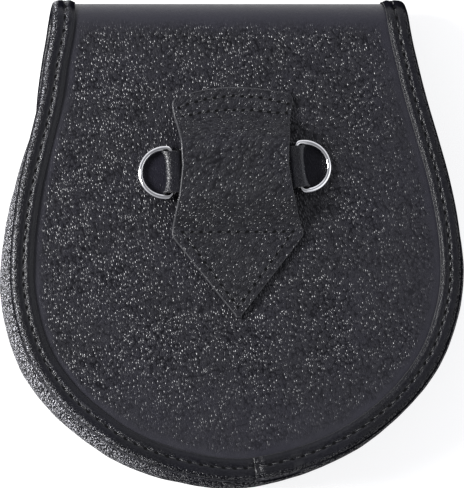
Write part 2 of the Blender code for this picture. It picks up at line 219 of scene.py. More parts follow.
def smooth_loop(points, steps):
    """Rounded closed line through 2-D points, and where each point sits in it."""
    count = len(points)
    line, marks = [], []
    for i in range(count):
        p0, p1, p2, p3 = (points[(i + k) % count] for k in (-1, 0, 1, 2))
        t0 = 0.0
        t1 = t0 + math.sqrt((p1 - p0).length)
        t2 = t1 + math.sqrt((p2 - p1).length)
        t3 = t2 + math.sqrt((p3 - p2).length)
        marks.append(len(line))
        for k in range(steps):
            t = mix(t1, t2, k / steps)
            a1 = p0 * ((t1 - t) / (t1 - t0)) + p1 * ((t - t0) / (t1 - t0))
            a2 = p1 * ((t2 - t) / (t2 - t1)) + p2 * ((t - t1) / (t2 - t1))
            a3 = p2 * ((t3 - t) / (t3 - t2)) + p3 * ((t - t2) / (t3 - t2))
            b1 = a1 * ((t2 - t) / (t2 - t0)) + a2 * ((t - t0) / (t2 - t0))
            b2 = a2 * ((t3 - t) / (t3 - t1)) + a3 * ((t - t1) / (t3 - t1))
            line.append(b1 * ((t2 - t) / (t2 - t1)) + b2 * ((t - t1) / (t2 - t1)))
    return line, marks


class Rim:
    """Outline of the leather laid flat, outside of the binding: x across, s along it."""

    def __init__(self):
        right = [Vector((row[2], -row[0])) for row in BACK_OUTLINE]
        left = [Vector((-row[1], -row[0])) for row in BACK_OUTLINE]
        for side, sign, col in ((right, 1.0, 2), (left, -1.0, 1)):
            side.append(Vector((sign * FOLD_HALF_WIDTH, FOLD_LENGTH / 2)))
            for row in FLAP_OUTLINE:
                side.append(Vector((sign * row[col], FOLD_LENGTH + row[0])))
        bottom = Vector((BOTTOM[1], -BOTTOM[0]))
        end = Vector((0.0, FOLD_LENGTH + FLAP_END))
        line, marks = smooth_loop([bottom, *right, end, *reversed(left)], 20)
        self.points = np.array([[p.x, p.y] for p in line])
        steps = np.linalg.norm(np.roll(self.points, -1, 0) - self.points, axis=1)
        self.at = np.concatenate([[0.0], np.cumsum(steps)])
        self.length = float(self.at[-1])
        fold = len(BACK_OUTLINE)
        rows = (0, LOWER_CORNER + 1, fold, fold + 2, fold + 2 + FLAP_CORNER)
        ends = [*rows, len(right) + 1]
        ends += [len(marks) - row for row in reversed(rows[1:])]
        self.stops = [float(self.at[marks[k]]) for k in ends] + [self.length]

    def stations(self, counts):
        out = []
        for a, b, count in zip(self.stops, self.stops[1:], counts + counts[::-1]):
            out += [mix(a, b, k / count) for k in range(count)]
        return np.array(out)

    def point(self, at, inset=0.0):
        at = np.mod(np.asarray(at, float), self.length)
        inset = np.broadcast_to(np.asarray(inset, float), at.shape)
        count = len(self.points)
        low = np.clip(np.searchsorted(self.at, at, side="right") - 1, 0, count - 1)
        a, b = self.points[low], self.points[(low + 1) % count]
        share = ((at - self.at[low]) / (self.at[low + 1] - self.at[low]))[..., None]
        before, after = self.points[low - 1], self.points[(low + 2) % count]
        way = unit(mix(unit(b - before), unit(after - a), share))
        normal = np.stack([way[..., 1], -way[..., 0]], -1)
        return mix(a, b, share) - normal * inset[..., None]


RIM = Rim()


def bent(x, s, lift=0.0):
    """The flat leather bent to shape: x across, s along, lift outward."""
    x, s, lift = np.broadcast_arrays(
        np.asarray(x, float), np.asarray(s, float), np.asarray(lift, float)
    )
    turn = BACK_SLOPE + np.clip(s, 0.0, FOLD_LENGTH) / FOLD_RADIUS
    oy, oz = np.sin(turn), np.cos(turn)
    y = FOLD_Y + oy * FOLD_RADIUS
    z = FOLD_Z + oz * FOLD_RADIUS
    low = np.minimum(s, 0.0)
    y = y + math.cos(BACK_SLOPE) * low
    z = z - math.sin(BACK_SLOPE) * low
    y = y - np.maximum(s - FOLD_LENGTH, 0.0)
    return np.stack([x, y + oy * lift, z + oz * lift], -1)


def out_of(s):
    turn = BACK_SLOPE + np.clip(s, 0.0, FOLD_LENGTH) / FOLD_RADIUS
    return np.stack([np.zeros_like(turn), np.sin(turn), np.cos(turn)], -1)


def back_frame(across, down, lift, turned=0.0):
    """Axes on the back's outer face, in metres: x across, y up the back, z out."""
    spot = Vector(bent(across, -down, LEATHER / 2 + lift)) * MM
    tilt = Matrix.Rotation(-BACK_SLOPE, 4, "X")
    return Matrix.Translation(spot) @ tilt @ Matrix.Rotation(turned, 4, "Z")


def waves(x, s, size, seed, count=7):
    """Smooth uneven field of about -1 to 1 whose bumps are size across."""
    pick = np.random.default_rng(seed)
    total = 0.0
    for _ in range(count):
        turn = pick.uniform(0, 2 * math.pi)
        long = size * pick.uniform(0.7, 1.6)
        phase = pick.uniform(0, 2 * math.pi)
        total = total + np.sin(
            2 * math.pi * (x * math.cos(turn) + s * math.sin(turn)) / long + phase
        )
    return total / math.sqrt(count * 2.0)


# ================================================================ meshes
def piece(name, verts, faces, mats, body="pouch", slots=None, smooth=True, field=None):
    mesh = bpy.data.meshes.new(name)
    mesh.from_pydata((np.asarray(verts) * MM).tolist(), [], faces)
    for mat in mats:
        mesh.materials.append(mat)
    if slots is not None:
        mesh.polygons.foreach_set("material_index", np.asarray(slots, np.int32))
    mesh.polygons.foreach_set("use_smooth", np.full(len(mesh.polygons), smooth))
    if field is not None:
        for word, values in field.items():
            layer = mesh.attributes.new(word, "FLOAT", "POINT")
            layer.data.foreach_set("value", np.asarray(values, np.float32).ravel())
    bm = bmesh.new()
    bm.from_mesh(mesh)
    bmesh.ops.recalc_face_normals(bm, faces=bm.faces)
    bm.to_mesh(mesh)
    bm.free()
    mesh.update()
    obj = bpy.data.objects.new(name, mesh)
    bpy.context.scene.collection.objects.link(obj)
    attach(obj, body)
    return obj


def grid_normals(grid):
    du = np.gradient(grid, axis=0)
    dv = np.gradient(grid, axis=1)
    return unit(np.cross(du, dv))


def edge_drop(distance, radius):
    """How much a rounded edge is thinner at a distance from the cut."""
    d = np.clip(distance, 0.0, radius)
    return radius - np.sqrt(np.maximum(radius**2 - (radius - d) ** 2, 0.0))


def slab(name, middle, thick, mats, edge=None, round_edge=0.0, body="pouch",
         normals=None, cut_slot=0, field=None, outer=None, inner=None):
    """Closed sheet round a middle surface: rows x columns of points."""
    rows, cols = middle.shape[:2]
    n = grid_normals(middle) if normals is None else normals
    half = np.full((rows, cols), thick / 2)
    if edge is not None and round_edge > 0.0:
        half = half - edge_drop(edge, round_edge)
    top = middle + n * half[..., None]
    low = middle - n * half[..., None]
    if outer is not None:
        top = top + n * outer[..., None]
    if inner is not None:
        low = low + n * inner[..., None]
    verts = np.concatenate([top.reshape(-1, 3), low.reshape(-1, 3)])
    index = np.arange(rows * cols).reshape(rows, cols)
    a, b, c, d = index[:-1, :-1], index[:-1, 1:], index[1:, 1:], index[1:, :-1]
    quads = np.stack([a, b, c, d], -1).reshape(-1, 4)
    shift = rows * cols
    ring = np.concatenate(
        [index[0, :-1], index[:-1, -1], index[-1, :0:-1], index[:0:-1, 0]]
    )
    nxt = np.roll(ring, -1)
    wall = np.stack([nxt, ring, ring + shift, nxt + shift], -1)
    faces = np.concatenate([quads, quads[:, ::-1] + shift, wall])
    slots = np.zeros(len(faces), np.int32)
    if cut_slot:
        slots[2 * len(quads):] = cut_slot
        if edge is not None and round_edge > 0.0:
            near = edge[:-1, :-1] + edge[:-1, 1:] + edge[1:, 1:] + edge[1:, :-1]
            near = (near / 4 < round_edge * 0.75).reshape(-1)
            slots[: len(quads)][near] = cut_slot
            slots[len(quads): 2 * len(quads)][near] = cut_slot
    if field is not None:
        field = {k: np.concatenate([v.ravel(), v.ravel()]) for k, v in field.items()}
    return piece(name, verts, faces.tolist(), mats, body, slots, field=field)


def tube(name, rings, mats, closed=False, body="pouch", field=None, slots=None):
    """Skin over closed sections: sections x points round x 3."""
    count, around = rings.shape[:2]
    index = np.arange(count * around).reshape(count, around)
    if closed:
        nxt = np.roll(index, -1, 0)
        a, b = index, nxt
    else:
        a, b = index[:-1], index[1:]
    quads = np.stack([a, np.roll(a, -1, 1), np.roll(b, -1, 1), b], -1)
    faces = quads.reshape(-1, 4).tolist()
    kinds = None
    if slots is not None:
        kinds = np.broadcast_to(slots[None, :], quads.shape[:2]).reshape(-1).tolist()
    if not closed:
        faces.append(index[0].tolist())
        faces.append(index[-1][::-1].tolist())
        if kinds is not None:
            kinds += [1, 1]
    return piece(name, rings.reshape(-1, 3), faces, mats, body, kinds, field=field)


def threads(name, centre, along, out, length, radius, mat, sink=0.15, rise=0.22, body="pouch"):
    """Stitches: short threads that come up out of the leather and go down again."""
    count = len(centre)
    rings, around = 9, 8
    t = np.linspace(0.0, 1.0, rings)
    u = 2 * t - 1
    side = unit(np.cross(out, along))
    along = unit(along)
    arch = rise * (1 - np.abs(u) ** 2.6) - sink * np.abs(u) ** 6 * 3.0
    fat = radius * np.sqrt(np.clip(1 - np.abs(u) ** 8 * 0.8, 0.05, 1))
    turn = np.arange(around) * 2 * math.pi / around
    spot = (
        centre[:, None, :]
        + along[:, None, :] * (u * length / 2)[None, :, None]
        + out[:, None, :] * arch[None, :, None]
    )
    ring = (
        side[:, None, None, :] * (np.cos(turn) * 1.0)[None, None, :, None]
        + out[:, None, None, :] * (np.sin(turn) * 0.8)[None, None, :, None]
    ) * fat[None, :, None, None]
    verts = (spot[:, :, None, :] + ring).reshape(-1, 3)
    index = np.arange(count * rings * around).reshape(count, rings, around)
    a, b = index[:, :-1], index[:, 1:]
    quads = np.stack([a, np.roll(a, -1, 2), np.roll(b, -1, 2), b], -1).reshape(-1, 4)
    faces = quads.tolist() + index[:, 0, ::-1].tolist() + index[:, -1].tolist()
    return piece(name, verts, faces, [mat], body)


def hole_shades(name, centre, along, out, mat, long=0.62, wide=0.42, body="pouch"):
    """Painted shade: small sunk dark ovals at the ends of the stitches, standing in for the shadow inside each needle
    hole.
    """
    count, around = len(centre), 10
    turn = np.arange(around) * 2 * math.pi / around
    side = unit(np.cross(out, along))
    along = unit(along)
    rim = (
        centre[:, None, :]
        + along[:, None, :] * (np.cos(turn) * long)[None, :, None]
        + side[:, None, :] * (np.sin(turn) * wide)[None, :, None]
    )
    top = rim + out[:, None, :] * 0.02
    low = rim - out[:, None, :] * 0.25
    verts = np.stack([top, low], 1).reshape(-1, 3)
    index = np.arange(count * 2 * around).reshape(count, 2, around)
    a, b = index[:, 0], index[:, 1]
    wall = np.stack([a, np.roll(a, -1, 1), np.roll(b, -1, 1), b], -1).reshape(-1, 4)
    faces = wall.tolist() + a.tolist() + b[:, ::-1].tolist()
    return piece(name, verts, faces, [mat], body, smooth=False)


# ================================================================ materials
class Nodes:
    def __init__(self, name):
        self.mat = bpy.data.materials.new(name)
        self.mat.use_nodes = True
        self.tree = self.mat.node_tree
        self.shader = self.tree.nodes["Principled BSDF"]

    def add(self, kind, **values):
        node = self.tree.nodes.new(kind)
        for word, value in values.items():
            setattr(node, word, value)
        return node

    def link(self, a, b):
        self.tree.links.new(a, b)

    def put(self, socket, value):
        if isinstance(value, bpy.types.NodeSocket):
            self.link(value, socket)
        else:
            socket.default_value = value

    def math(self, operation, a, b=0.0, c=0.0, clamp=False):
        node = self.add("ShaderNodeMath", operation=operation, use_clamp=clamp)
        self.put(node.inputs[0], a)
        self.put(node.inputs[1], b)
        self.put(node.inputs[2], c)
        return node.outputs[0]

    def ramp(self, value, low, high, to_low=0.0, to_high=1.0, smooth=True):
        node = self.add("ShaderNodeMapRange")
        node.interpolation_type = "SMOOTHSTEP" if smooth else "LINEAR"
        self.put(node.inputs["Value"], value)
        self.put(node.inputs["From Min"], low)
        self.put(node.inputs["From Max"], high)
        self.put(node.inputs["To Min"], to_low)
        self.put(node.inputs["To Max"], to_high)
        return node.outputs["Result"]

    def coords(self, turn=0.0, stretch=(1.0, 1.0, 1.0)):
        """Object coordinates in millimetres, turned about z, then stretched."""
        spot = self.add("ShaderNodeTexCoord").outputs["Object"]
        node = self.add("ShaderNodeMapping")
        node.inputs["Scale"].default_value = tuple(1000.0 * k for k in stretch)
        turned = self.add("ShaderNodeVectorRotate", rotation_type="Z_AXIS")
        turned.inputs["Angle"].default_value = turn
        self.link(spot, turned.inputs["Vector"])
        self.link(turned.outputs[0], node.inputs["Vector"])
        return node.outputs[0]

    def noise(self, spot, size, detail=2.0, rough=0.5):
        node = self.add("ShaderNodeTexNoise")
        self.link(spot, node.inputs["Vector"])
        node.inputs["Scale"].default_value = 1.0 / size
        node.inputs["Detail"].default_value = detail
        node.inputs["Roughness"].default_value = rough
        return node.outputs["Fac"]

    def cells(self, spot, size, feature="SMOOTH_F1", uneven=1.0, smooth=0.35):
        node = self.add("ShaderNodeTexVoronoi", feature=feature)
        self.link(spot, node.inputs["Vector"])
        node.inputs["Scale"].default_value = 1.0 / size
        node.inputs["Randomness"].default_value = uneven
        if feature == "SMOOTH_F1":
            node.inputs["Smoothness"].default_value = smooth
        return node

    def warped(self, spot, size, by):
        node = self.add("ShaderNodeTexNoise")
        self.link(spot, node.inputs["Vector"])
        node.inputs["Scale"].default_value = 1.0 / size
        node.inputs["Detail"].default_value = 2.0
        shift = self.add("ShaderNodeVectorMath", operation="SUBTRACT")
        self.link(node.outputs["Color"], shift.inputs[0])
        shift.inputs[1].default_value = (0.5, 0.5, 0.5)
        grow = self.add("ShaderNodeVectorMath", operation="SCALE")
        self.link(shift.outputs[0], grow.inputs[0])
        grow.inputs["Scale"].default_value = by
        total = self.add("ShaderNodeVectorMath", operation="ADD")
        self.link(spot, total.inputs[0])
        self.link(grow.outputs[0], total.inputs[1])
        return total.outputs[0]

    def colour(self, share, low, high):
        node = self.add("ShaderNodeMix", data_type="RGBA")
        self.put(node.inputs[0], share)
        for socket, value in ((node.inputs[6], low), (node.inputs[7], high)):
            if isinstance(value, bpy.types.NodeSocket):
                self.link(value, socket)
            else:
                socket.default_value = (*value, 1.0)
        return node.outputs[2]

    def bump(self, height, strength, depth_mm, normal=None):
        node = self.add("ShaderNodeBump")
        self.put(node.inputs["Strength"], strength)
        node.inputs["Distance"].default_value = depth_mm * MM
        self.link(height, node.inputs["Height"])
        if normal is not None:
            self.link(normal, node.inputs["Normal"])
        return node.outputs["Normal"]

    def levelled(self, share, low=0.45, high=0.70):
        """The face's own direction, drawn towards the back's where it faces up."""
        if not share:
            return None
        own = self.add("ShaderNodeNewGeometry").outputs["Normal"]
        parts = self.add("ShaderNodeSeparateXYZ")
        self.link(own, parts.inputs[0])
        much = self.ramp(parts.outputs["Z"], low, high, 0.0, share)
        blend = self.add("ShaderNodeMix", data_type="VECTOR")
        self.link(much, blend.inputs[0])
        self.link(own, blend.inputs[4])
        blend.inputs[5].default_value = (0.0, math.sin(BACK_SLOPE), math.cos(BACK_SLOPE))
        even = self.add("ShaderNodeVectorMath", operation="NORMALIZE")
        self.link(blend.outputs[1], even.inputs[0])
        return even.outputs[0]

    def field(self, word):
        node = self.add("ShaderNodeAttribute", attribute_name=word)
        return node.outputs["Fac"]


INK = (0.0072, 0.0070, 0.0094)
INK_BLUE = (0.0112, 0.0107, 0.0170)
# painted highlight colour for glint flecks
GLINT_PAINT_TONE = (0.50, 0.50, 0.54)
# lighter colour for wear and for painted highlights
WEAR_AND_HIGHLIGHT_TONE = (0.16, 0.16, 0.175)


def pebbled(name, cell=1.05, turn=-0.28, stretch=0.60, uneven=0.88, depth=0.34, low=0.46,
            flank=0.21, few=1.35, fade=None, level=0.0, pit_shade_amount=1.0, ink=INK):
    """Boarded black leather: small pebbles of uneven height with burnished flanks, and painted shade in the low spots
    between them.
    """
    k = Nodes(name)
    plain = k.coords()
    spot = k.warped(k.coords(turn, (1.0, stretch, 1.0)), 9.0, 2.0)
    spot = k.warped(spot, 1.6, 0.35)
    pebble = k.cells(spot, cell, "F1", uneven=uneven)
    away = pebble.outputs["Distance"]
    dome = k.ramp(away, 0.58, 0.08)
    parts = k.add("ShaderNodeSeparateColor")
    k.link(pebble.outputs["Color"], parts.inputs[0])
    lot = k.math("POWER", parts.outputs[0], few)
    small = k.cells(k.warped(plain, 3.0, 0.5), 0.46, uneven=1.0)
    crumbs = k.ramp(small.outputs["Distance"], 0.1, 0.7, 1.0, 0.0)
    fine = k.noise(plain, 0.20, 3.0, 0.6)
    # how strong the grain stands, which is uneven over the hide
    patch = k.noise(plain, 24.0, 2.0)
    strong = k.ramp(patch, 0.32, 0.66, 0.78, 1.0)
    if fade is not None:
        strong = k.math("MULTIPLY", strong, k.field(fade))
    stand = k.math("MULTIPLY", strong, k.math("MULTIPLY_ADD", lot, 0.92, 0.18))
    wrinkle = k.noise(k.coords(0.75, (1.0, 0.22, 1.0)), 1.1, 2.0)
    high = k.math("MULTIPLY_ADD", crumbs, 0.10, k.math("MULTIPLY", fine, 0.12))
    high = k.math("MULTIPLY_ADD", wrinkle, 0.12, high)
    high = k.math("MULTIPLY_ADD", dome, stand, high)
    k.link(k.bump(high, 1.0, depth, k.levelled(level)), k.shader.inputs["Normal"])
    tone = k.noise(plain, 26.0, 3.0, 0.55)
    # the leather is bluer and lighter in random patches, and also where the grain is smooth; the second part is
    # painted sheen
    smooth = k.math("SUBTRACT", 1.0, strong, clamp=True)
    blue = k.math("MULTIPLY_ADD", k.ramp(tone, 0.34, 0.66), 0.4, k.math("MULTIPLY", smooth, 0.8), clamp=True)
    base = k.colour(blue, ink, INK_BLUE)
    # painted shade: the low spots between the pebbles are darkened in colour and gloss, as if in shadow
    pit_shade_pick = k.ramp(parts.outputs[1], 0.15, 0.55, 0.25 * pit_shade_amount, pit_shade_amount)
    pit_shade = k.math("MULTIPLY", k.math("MULTIPLY", k.ramp(away, 0.48, 0.64), pit_shade_pick), strong)
    base = k.colour(k.math("MULTIPLY", pit_shade, 0.65), base, (0.0015, 0.0015, 0.002))
    k.link(base, k.shader.inputs["Base Color"])
    gloss = k.math("MULTIPLY_ADD", pit_shade, -0.36, k.math("MULTIPLY_ADD", smooth, 0.03, 0.485))
    if fade is not None:
        gloss = k.math("MULTIPLY", gloss, k.math("SUBTRACT", 1.0, k.field("shade"), clamp=True))
    k.link(gloss, k.shader.inputs["Specular IOR Level"])
    blotch = k.ramp(k.noise(plain, 5.0, 3.0), 0.3, 0.7, low - 0.02, low + 0.03)
    shine = k.math("MULTIPLY", k.ramp(dome, 0.05, 0.4), strong)
    rough = k.add("ShaderNodeMix", data_type="FLOAT")
    k.put(rough.inputs[0], shine)
    k.put(rough.inputs[2], blotch)
    k.put(rough.inputs[3], flank)
    k.link(rough.outputs[0], k.shader.inputs["Roughness"])
    return k.mat


def smooth_leather(name, cell=0.6, depth=0.07, rough=0.34, crease=0.0, wear_and_highlight=0.5,
                   turns_matt=(0.40, 0.80), ink=INK, pore_shade_base=0.2, gloss=0.5, level=0.0):
    """Smooth black leather with a fine pinhead grain, and a polish where it rubs; its pores get painted shade, and
    painted highlights and glints are laid into its colour where the fields ask for them.
    """
    k = Nodes(name)
    plain = k.coords()
    pore = k.cells(k.warped(plain, 2.5, 0.5), cell, uneven=1.0)
    pores = k.ramp(pore.outputs["Distance"], 0.1, 0.7, 1.0, 0.0)
    fine = k.noise(plain, 0.18, 3.0, 0.6)
    soft = k.noise(plain, 5.0, 2.0)
    high = k.math("MULTIPLY_ADD", pores, 0.8, k.math("MULTIPLY", fine, 0.35))
    high = k.math("MULTIPLY_ADD", soft, crease, high)
    high = k.math("MULTIPLY_ADD", k.math("MULTIPLY", pores, k.field("rub_and_painted_light")), 2.2, high)
    k.link(k.bump(high, 1.0, depth, k.levelled(level, -0.02, 0.24)), k.shader.inputs["Normal"])
    tone = k.noise(plain, 22.0, 3.0, 0.55)
    base = k.colour(k.ramp(tone, 0.34, 0.66), ink, tuple(c * f for c, f in zip(ink, (1.2, 1.2, 1.35))))
    # lighter in colour where the field asks for it: partly wear, partly painted highlight
    rub_and_painted_light = k.math("MULTIPLY", k.field("wear_and_highlight"), k.ramp(k.noise(plain, 2.2, 4.0, 0.6), 0.3, 0.66, 0.35, 1.0))
    base = k.colour(k.math("MULTIPLY", rub_and_painted_light, wear_and_highlight, clamp=True), base, WEAR_AND_HIGHLIGHT_TONE)
    # painted shade: the pores are darkened in colour and their gloss taken down, more where the leather is rubbed
    dark = k.math("MULTIPLY", k.ramp(pores, 0.35, 0.0), k.math("MULTIPLY_ADD", k.field("rub_and_painted_light"), 0.8, pore_shade_base, clamp=True))
    base = k.colour(k.math("MULTIPLY", dark, 0.6), base, (0.002, 0.002, 0.0025))
    # painted glints: light flecks laid into the colour on the grain's tops, in short slanting flecks, where the glint
    # field asks for them; the same field raises the gloss
    glint_cell = k.cells(k.warped(k.coords(-0.5, (1.0, 0.62, 1.0)), 1.6, 0.4), 0.58, uneven=1.0)
    glint_paint = k.ramp(glint_cell.outputs["Distance"], 0.20, 0.46, 1.0, 0.0)
    glint_paint = k.math("MULTIPLY", glint_paint, k.ramp(k.noise(plain, 1.1, 3.0, 0.6), 0.34, 0.62, 0.45, 1.0))
    base = k.colour(k.math("MULTIPLY", glint_paint, k.field("glint_paint"), clamp=True), base, GLINT_PAINT_TONE)
    k.link(base, k.shader.inputs["Base Color"])
    low = k.ramp(k.noise(plain, 6.0, 3.0), 0.3, 0.7, rough - 0.03, rough + 0.05)
    k.link(k.math("MULTIPLY_ADD", k.field("rub_and_painted_light"), -0.15, low), k.shader.inputs["Roughness"])
    # the matt finish takes the gloss off where the leather turns away
    away = k.add("ShaderNodeLayerWeight").outputs["Facing"]
    facing = k.ramp(away, turns_matt[0], turns_matt[1], gloss, 0.0)
    facing = k.math("MULTIPLY_ADD", k.field("glint_paint"), 0.35, facing)
    k.link(k.math("MULTIPLY", facing, k.ramp(dark, 0.0, 1.0, 1.0, 0.25)), k.shader.inputs["Specular IOR Level"])
    return k.mat


def cut_edge(name, tone, rough=0.36):
    """Painted, burnished cut edge of the leather."""
    k = Nodes(name)
    plain = k.coords()
    fibre = k.noise(k.coords(0.0, (0.35, 0.35, 2.0)), 0.25, 4.0, 0.7)
    k.link(k.bump(fibre, 0.7, 0.06), k.shader.inputs["Normal"])
    low = tuple(c * 0.45 for c in tone)
    k.link(k.colour(k.ramp(k.noise(plain, 0.9, 3.0), 0.3, 0.7), low, tone), k.shader.inputs["Base Color"])
    k.link(k.ramp(fibre, 0.3, 0.7, rough - 0.06, rough + 0.10), k.shader.inputs["Roughness"])
    return k.mat


def thread_mat(name, tone=0.010):
    k = Nodes(name)
    plain = k.coords(0.6, (1.0, 1.0, 1.0))
    wave = k.add("ShaderNodeTexWave", wave_type="BANDS", bands_direction="DIAGONAL")
    k.link(plain, wave.inputs["Vector"])
    wave.inputs["Scale"].default_value = 1.1
    wave.inputs["Distortion"].default_value = 0.6
    k.link(k.bump(wave.outputs["Fac"], 0.8, 0.09), k.shader.inputs["Normal"])
    k.link(k.colour(wave.outputs["Fac"], (tone * 0.5,) * 3, (tone * 1.3, tone * 1.3, tone * 1.45)), k.shader.inputs["Base Color"])
    k.link(k.ramp(wave.outputs["Fac"], 0.0, 1.0, 0.42, 0.24), k.shader.inputs["Roughness"])
    return k.mat


def hole_shade_mat(name):
    # painted shade: near-black colour standing in for the shadow inside each needle hole
    k = Nodes(name)
    grain = k.noise(k.coords(), 0.3, 2.0)
    k.link(k.colour(grain, (0.0015, 0.0015, 0.0016), (0.004, 0.004, 0.0045)), k.shader.inputs["Base Color"])
    k.link(k.ramp(grain, 0.3, 0.7, 0.85, 1.0), k.shader.inputs["Roughness"])
    k.shader.inputs["Specular IOR Level"].default_value = 0.1
    return k.mat


def steel(name, low=0.06, high=0.13, tone=0.99):
    """Polished steel wire with fine drawn lines and a few handling marks."""
    k = Nodes(name)
    plain = k.coords()
    lines = k.noise(k.coords(0.0, (1.0, 1.0, 1.0)), 0.12, 3.0, 0.6)
    marks = k.noise(plain, 1.7, 4.0, 0.65)
    k.link(k.bump(lines, 0.25, 0.012), k.shader.inputs["Normal"])
    k.link(k.ramp(marks, 0.35, 0.7, low, high), k.shader.inputs["Roughness"])
    dark = tuple(c * tone * 0.92 for c in (1.0, 1.0, 1.005))
    light = tuple(c * tone for c in (1.0, 0.995, 0.985))
    k.link(k.colour(k.ramp(k.noise(plain, 4.0, 2.0), 0.3, 0.7), dark, light), k.shader.inputs["Base Color"])
    k.shader.inputs["Metallic"].default_value = 1.0
    return k.mat


BACK = pebbled("back_leather", cell=0.93, uneven=0.78, depth=0.32, few=1.15, fade="grain", pit_shade_amount=1.05)
FLAP_IN = pebbled("front_leather", turn=-0.2, depth=0.32)
LOOP = pebbled("loop_leather", cell=1.08, turn=0.75, stretch=0.55, uneven=0.80, depth=0.40, flank=0.20, few=0.75, level=0.7, pit_shade_amount=0.8, ink=(0.0050, 0.0050, 0.0066))
BINDING = smooth_leather("binding_leather", cell=0.62, depth=0.075, rough=0.33, crease=0.3, turns_matt=(0.20, 0.42), ink=(0.0045, 0.0045, 0.0060), gloss=0.32)
GUSSET = smooth_leather("gusset_leather", cell=0.85, depth=0.30, rough=0.24, crease=0.08, wear_and_highlight=0.04, turns_matt=(0.78, 0.95), pore_shade_base=0.9, level=0.60)
TAB = smooth_leather("tab_leather", cell=0.5, depth=0.11, rough=0.25, wear_and_highlight=0.10, ink=(0.0075, 0.0075, 0.0095), gloss=0.42)
# painted light: a lighter copy of the tab leather, for the right tab, to make up for the loop's shadow on it
TAB_PAINTED_LIGHT = smooth_leather("tab_leather_painted_light", cell=0.5, depth=0.11, rough=0.30, wear_and_highlight=0.16, ink=(0.0145, 0.0145, 0.0180), gloss=0.5)
CUT = cut_edge("cut_edge", (0.042, 0.042, 0.046), 0.46)
DARK_CUT = cut_edge("binding_cut_edge", (0.010, 0.010, 0.011), 0.62)
THREAD = thread_mat("waxed_thread")
LOOP_THREAD = thread_mat("loop_thread", 0.030)
HOLE_SHADE = hole_shade_mat("needle_hole_shade")
STEEL = steel("ring_steel")
SNAP_STEEL = steel("snap_steel", 0.22, 0.36, 0.62)


# ================================================================ pieces
ACROSS, BACK_ROWS, FOLD_ROWS, FLAP_ROWS = 46, 122, 30, 66


def patch(bottom, left, right, top, low_weight, high_weight):
    steps = len(bottom) - 1
    u = (np.arange(steps + 1) / steps)[None, :, None]
    a, b = left[:, None, :], right[:, None, :]
    spot = mix(a, b, u)
    flat_low = mix(left[0][None, :], right[0][None, :], u[0])
    flat_high = mix(left[-1][None, :], right[-1][None, :], u[0])
    spot = spot + (bottom - flat_low)[None] * low_weight[:, None, None]
    return spot + (top - flat_high)[None] * high_weight[:, None, None]


def unevenness(x, s):
    """The back's slight hollows, none where other pieces are fastened on it."""
    field = 0.22 * waves(x, s, 62.0, 3) + 0.08 * waves(x, s, 23.0, 5)
    down = -s
    clear = ease((np.hypot(x + 0.5, (down - 68.0) * 0.85) - 52.0) / 20.0)
    return field * clear * ease((-s - 6.0) / 20.0)


def sheet_rows():
    counts = (ACROSS, BACK_ROWS, FOLD_ROWS, FLAP_ROWS, ACROSS)
    pts = RIM.point(RIM.stations(counts), RIM_INSET)
    count = len(pts)
    side = BACK_ROWS + FOLD_ROWS + FLAP_ROWS
    bottom = pts[np.arange(-ACROSS, ACROSS + 1) % count]
    right = pts[ACROSS: ACROSS + side + 1]
    top = pts[ACROSS + side: ACROSS + side + 2 * ACROSS + 1][::-1]
    left = pts[(-np.arange(ACROSS, ACROSS + side + 1)) % count]
    low = ease(right[:, 1] / right[0, 1])
    low[right[:, 1] >= 0.0] = 0.0
    high = ease((right[:, 1] - FOLD_LENGTH) / (right[-1, 1] - FOLD_LENGTH))
    high[right[:, 1] <= FOLD_LENGTH] = 0.0
    return patch(bottom, left, right, top, low, high)


def from_rim(x, s):
    """Distance of points of the flat leather from its outline."""
    near = np.full(x.shape, 1e9)
    for px, ps in RIM.points[::2]:
        near = np.minimum(near, (x - px) ** 2 + (s - ps) ** 2)
    return np.sqrt(near)


def grain_strength(x, s):
    """Boarding is strong at the left and the middle, and is pulled smooth over
    the fold, beside the binding, at the right edge and at the bottom."""
    down = -s
    over_fold = ease((down + 4.0) / 9.0)
    right = 1.0 - 0.32 * ease((x - 30.0) / 52.0)
    low = 1.0 - 0.42 * ease((down - 132.0) / 42.0)
    field = over_fold * right * low
    field = field * (1.0 + 0.12 * waves(x, s, 40.0, 11))
    flap = ease((s - FOLD_LENGTH - 4.0) / 14.0)
    field = np.maximum(field, flap * 0.85)
    beside = from_rim(x, s) - BINDING_OUTER_LEG + 0.8 * waves(x, s, 9.0, 12)
    field = field * ease((beside - 1.2) / 3.0)
    for eye in RING_EYES:
        field = field * (1.0 - 0.72 * in_eye(x, down, eye))
    return np.clip(0.06 + 0.94 * field, 0.0, 1.0)


RING_EYES = (
    # middle across, middle down, half width, half height of the painted-shade spot under a ring
    (-32.4, 62.3, 6.4, 9.6),
    (31.6, 60.35, 6.4, 9.6),
)


def in_eye(x, down, eye):
    away = np.hypot((x - eye[0]) / eye[2], (down - eye[1]) / eye[3])
    return 1.0 - ease((away - 0.86) / 0.22)


def ring_shade(x, s):
    """Painted shade under the rings: the gloss is taken down where the rings lie."""
    total = np.zeros_like(x)
    for eye in RING_EYES:
        total = np.maximum(total, in_eye(x, -s, eye))
    return 0.62 * total


def back_and_flap():
    flat = sheet_rows()
    x, s = flat[..., 0], flat[..., 1]
    lift = unevenness(x, s)
    middle = bent(x, s, lift)
    made = slab(
        "back_and_flap_leather", middle, LEATHER, [BACK],
        field={"grain": grain_strength(x, s), "shade": ring_shade(x, s)},
    )
    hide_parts("back_and_flap")


def lap_rise(at):
    """The over end of the binding climbs on to the under end."""
    past = LAP_START + LAP_RAMP - RIM.length - at
    return LAP_RISE * ease(past / LAP_RAMP)


def pared(at):
    """The over end is pared thin so that it lies down on the under end."""
    return 0.80 * ease((LAP_END - RIM.length + 5.0 - at) / 5.0)


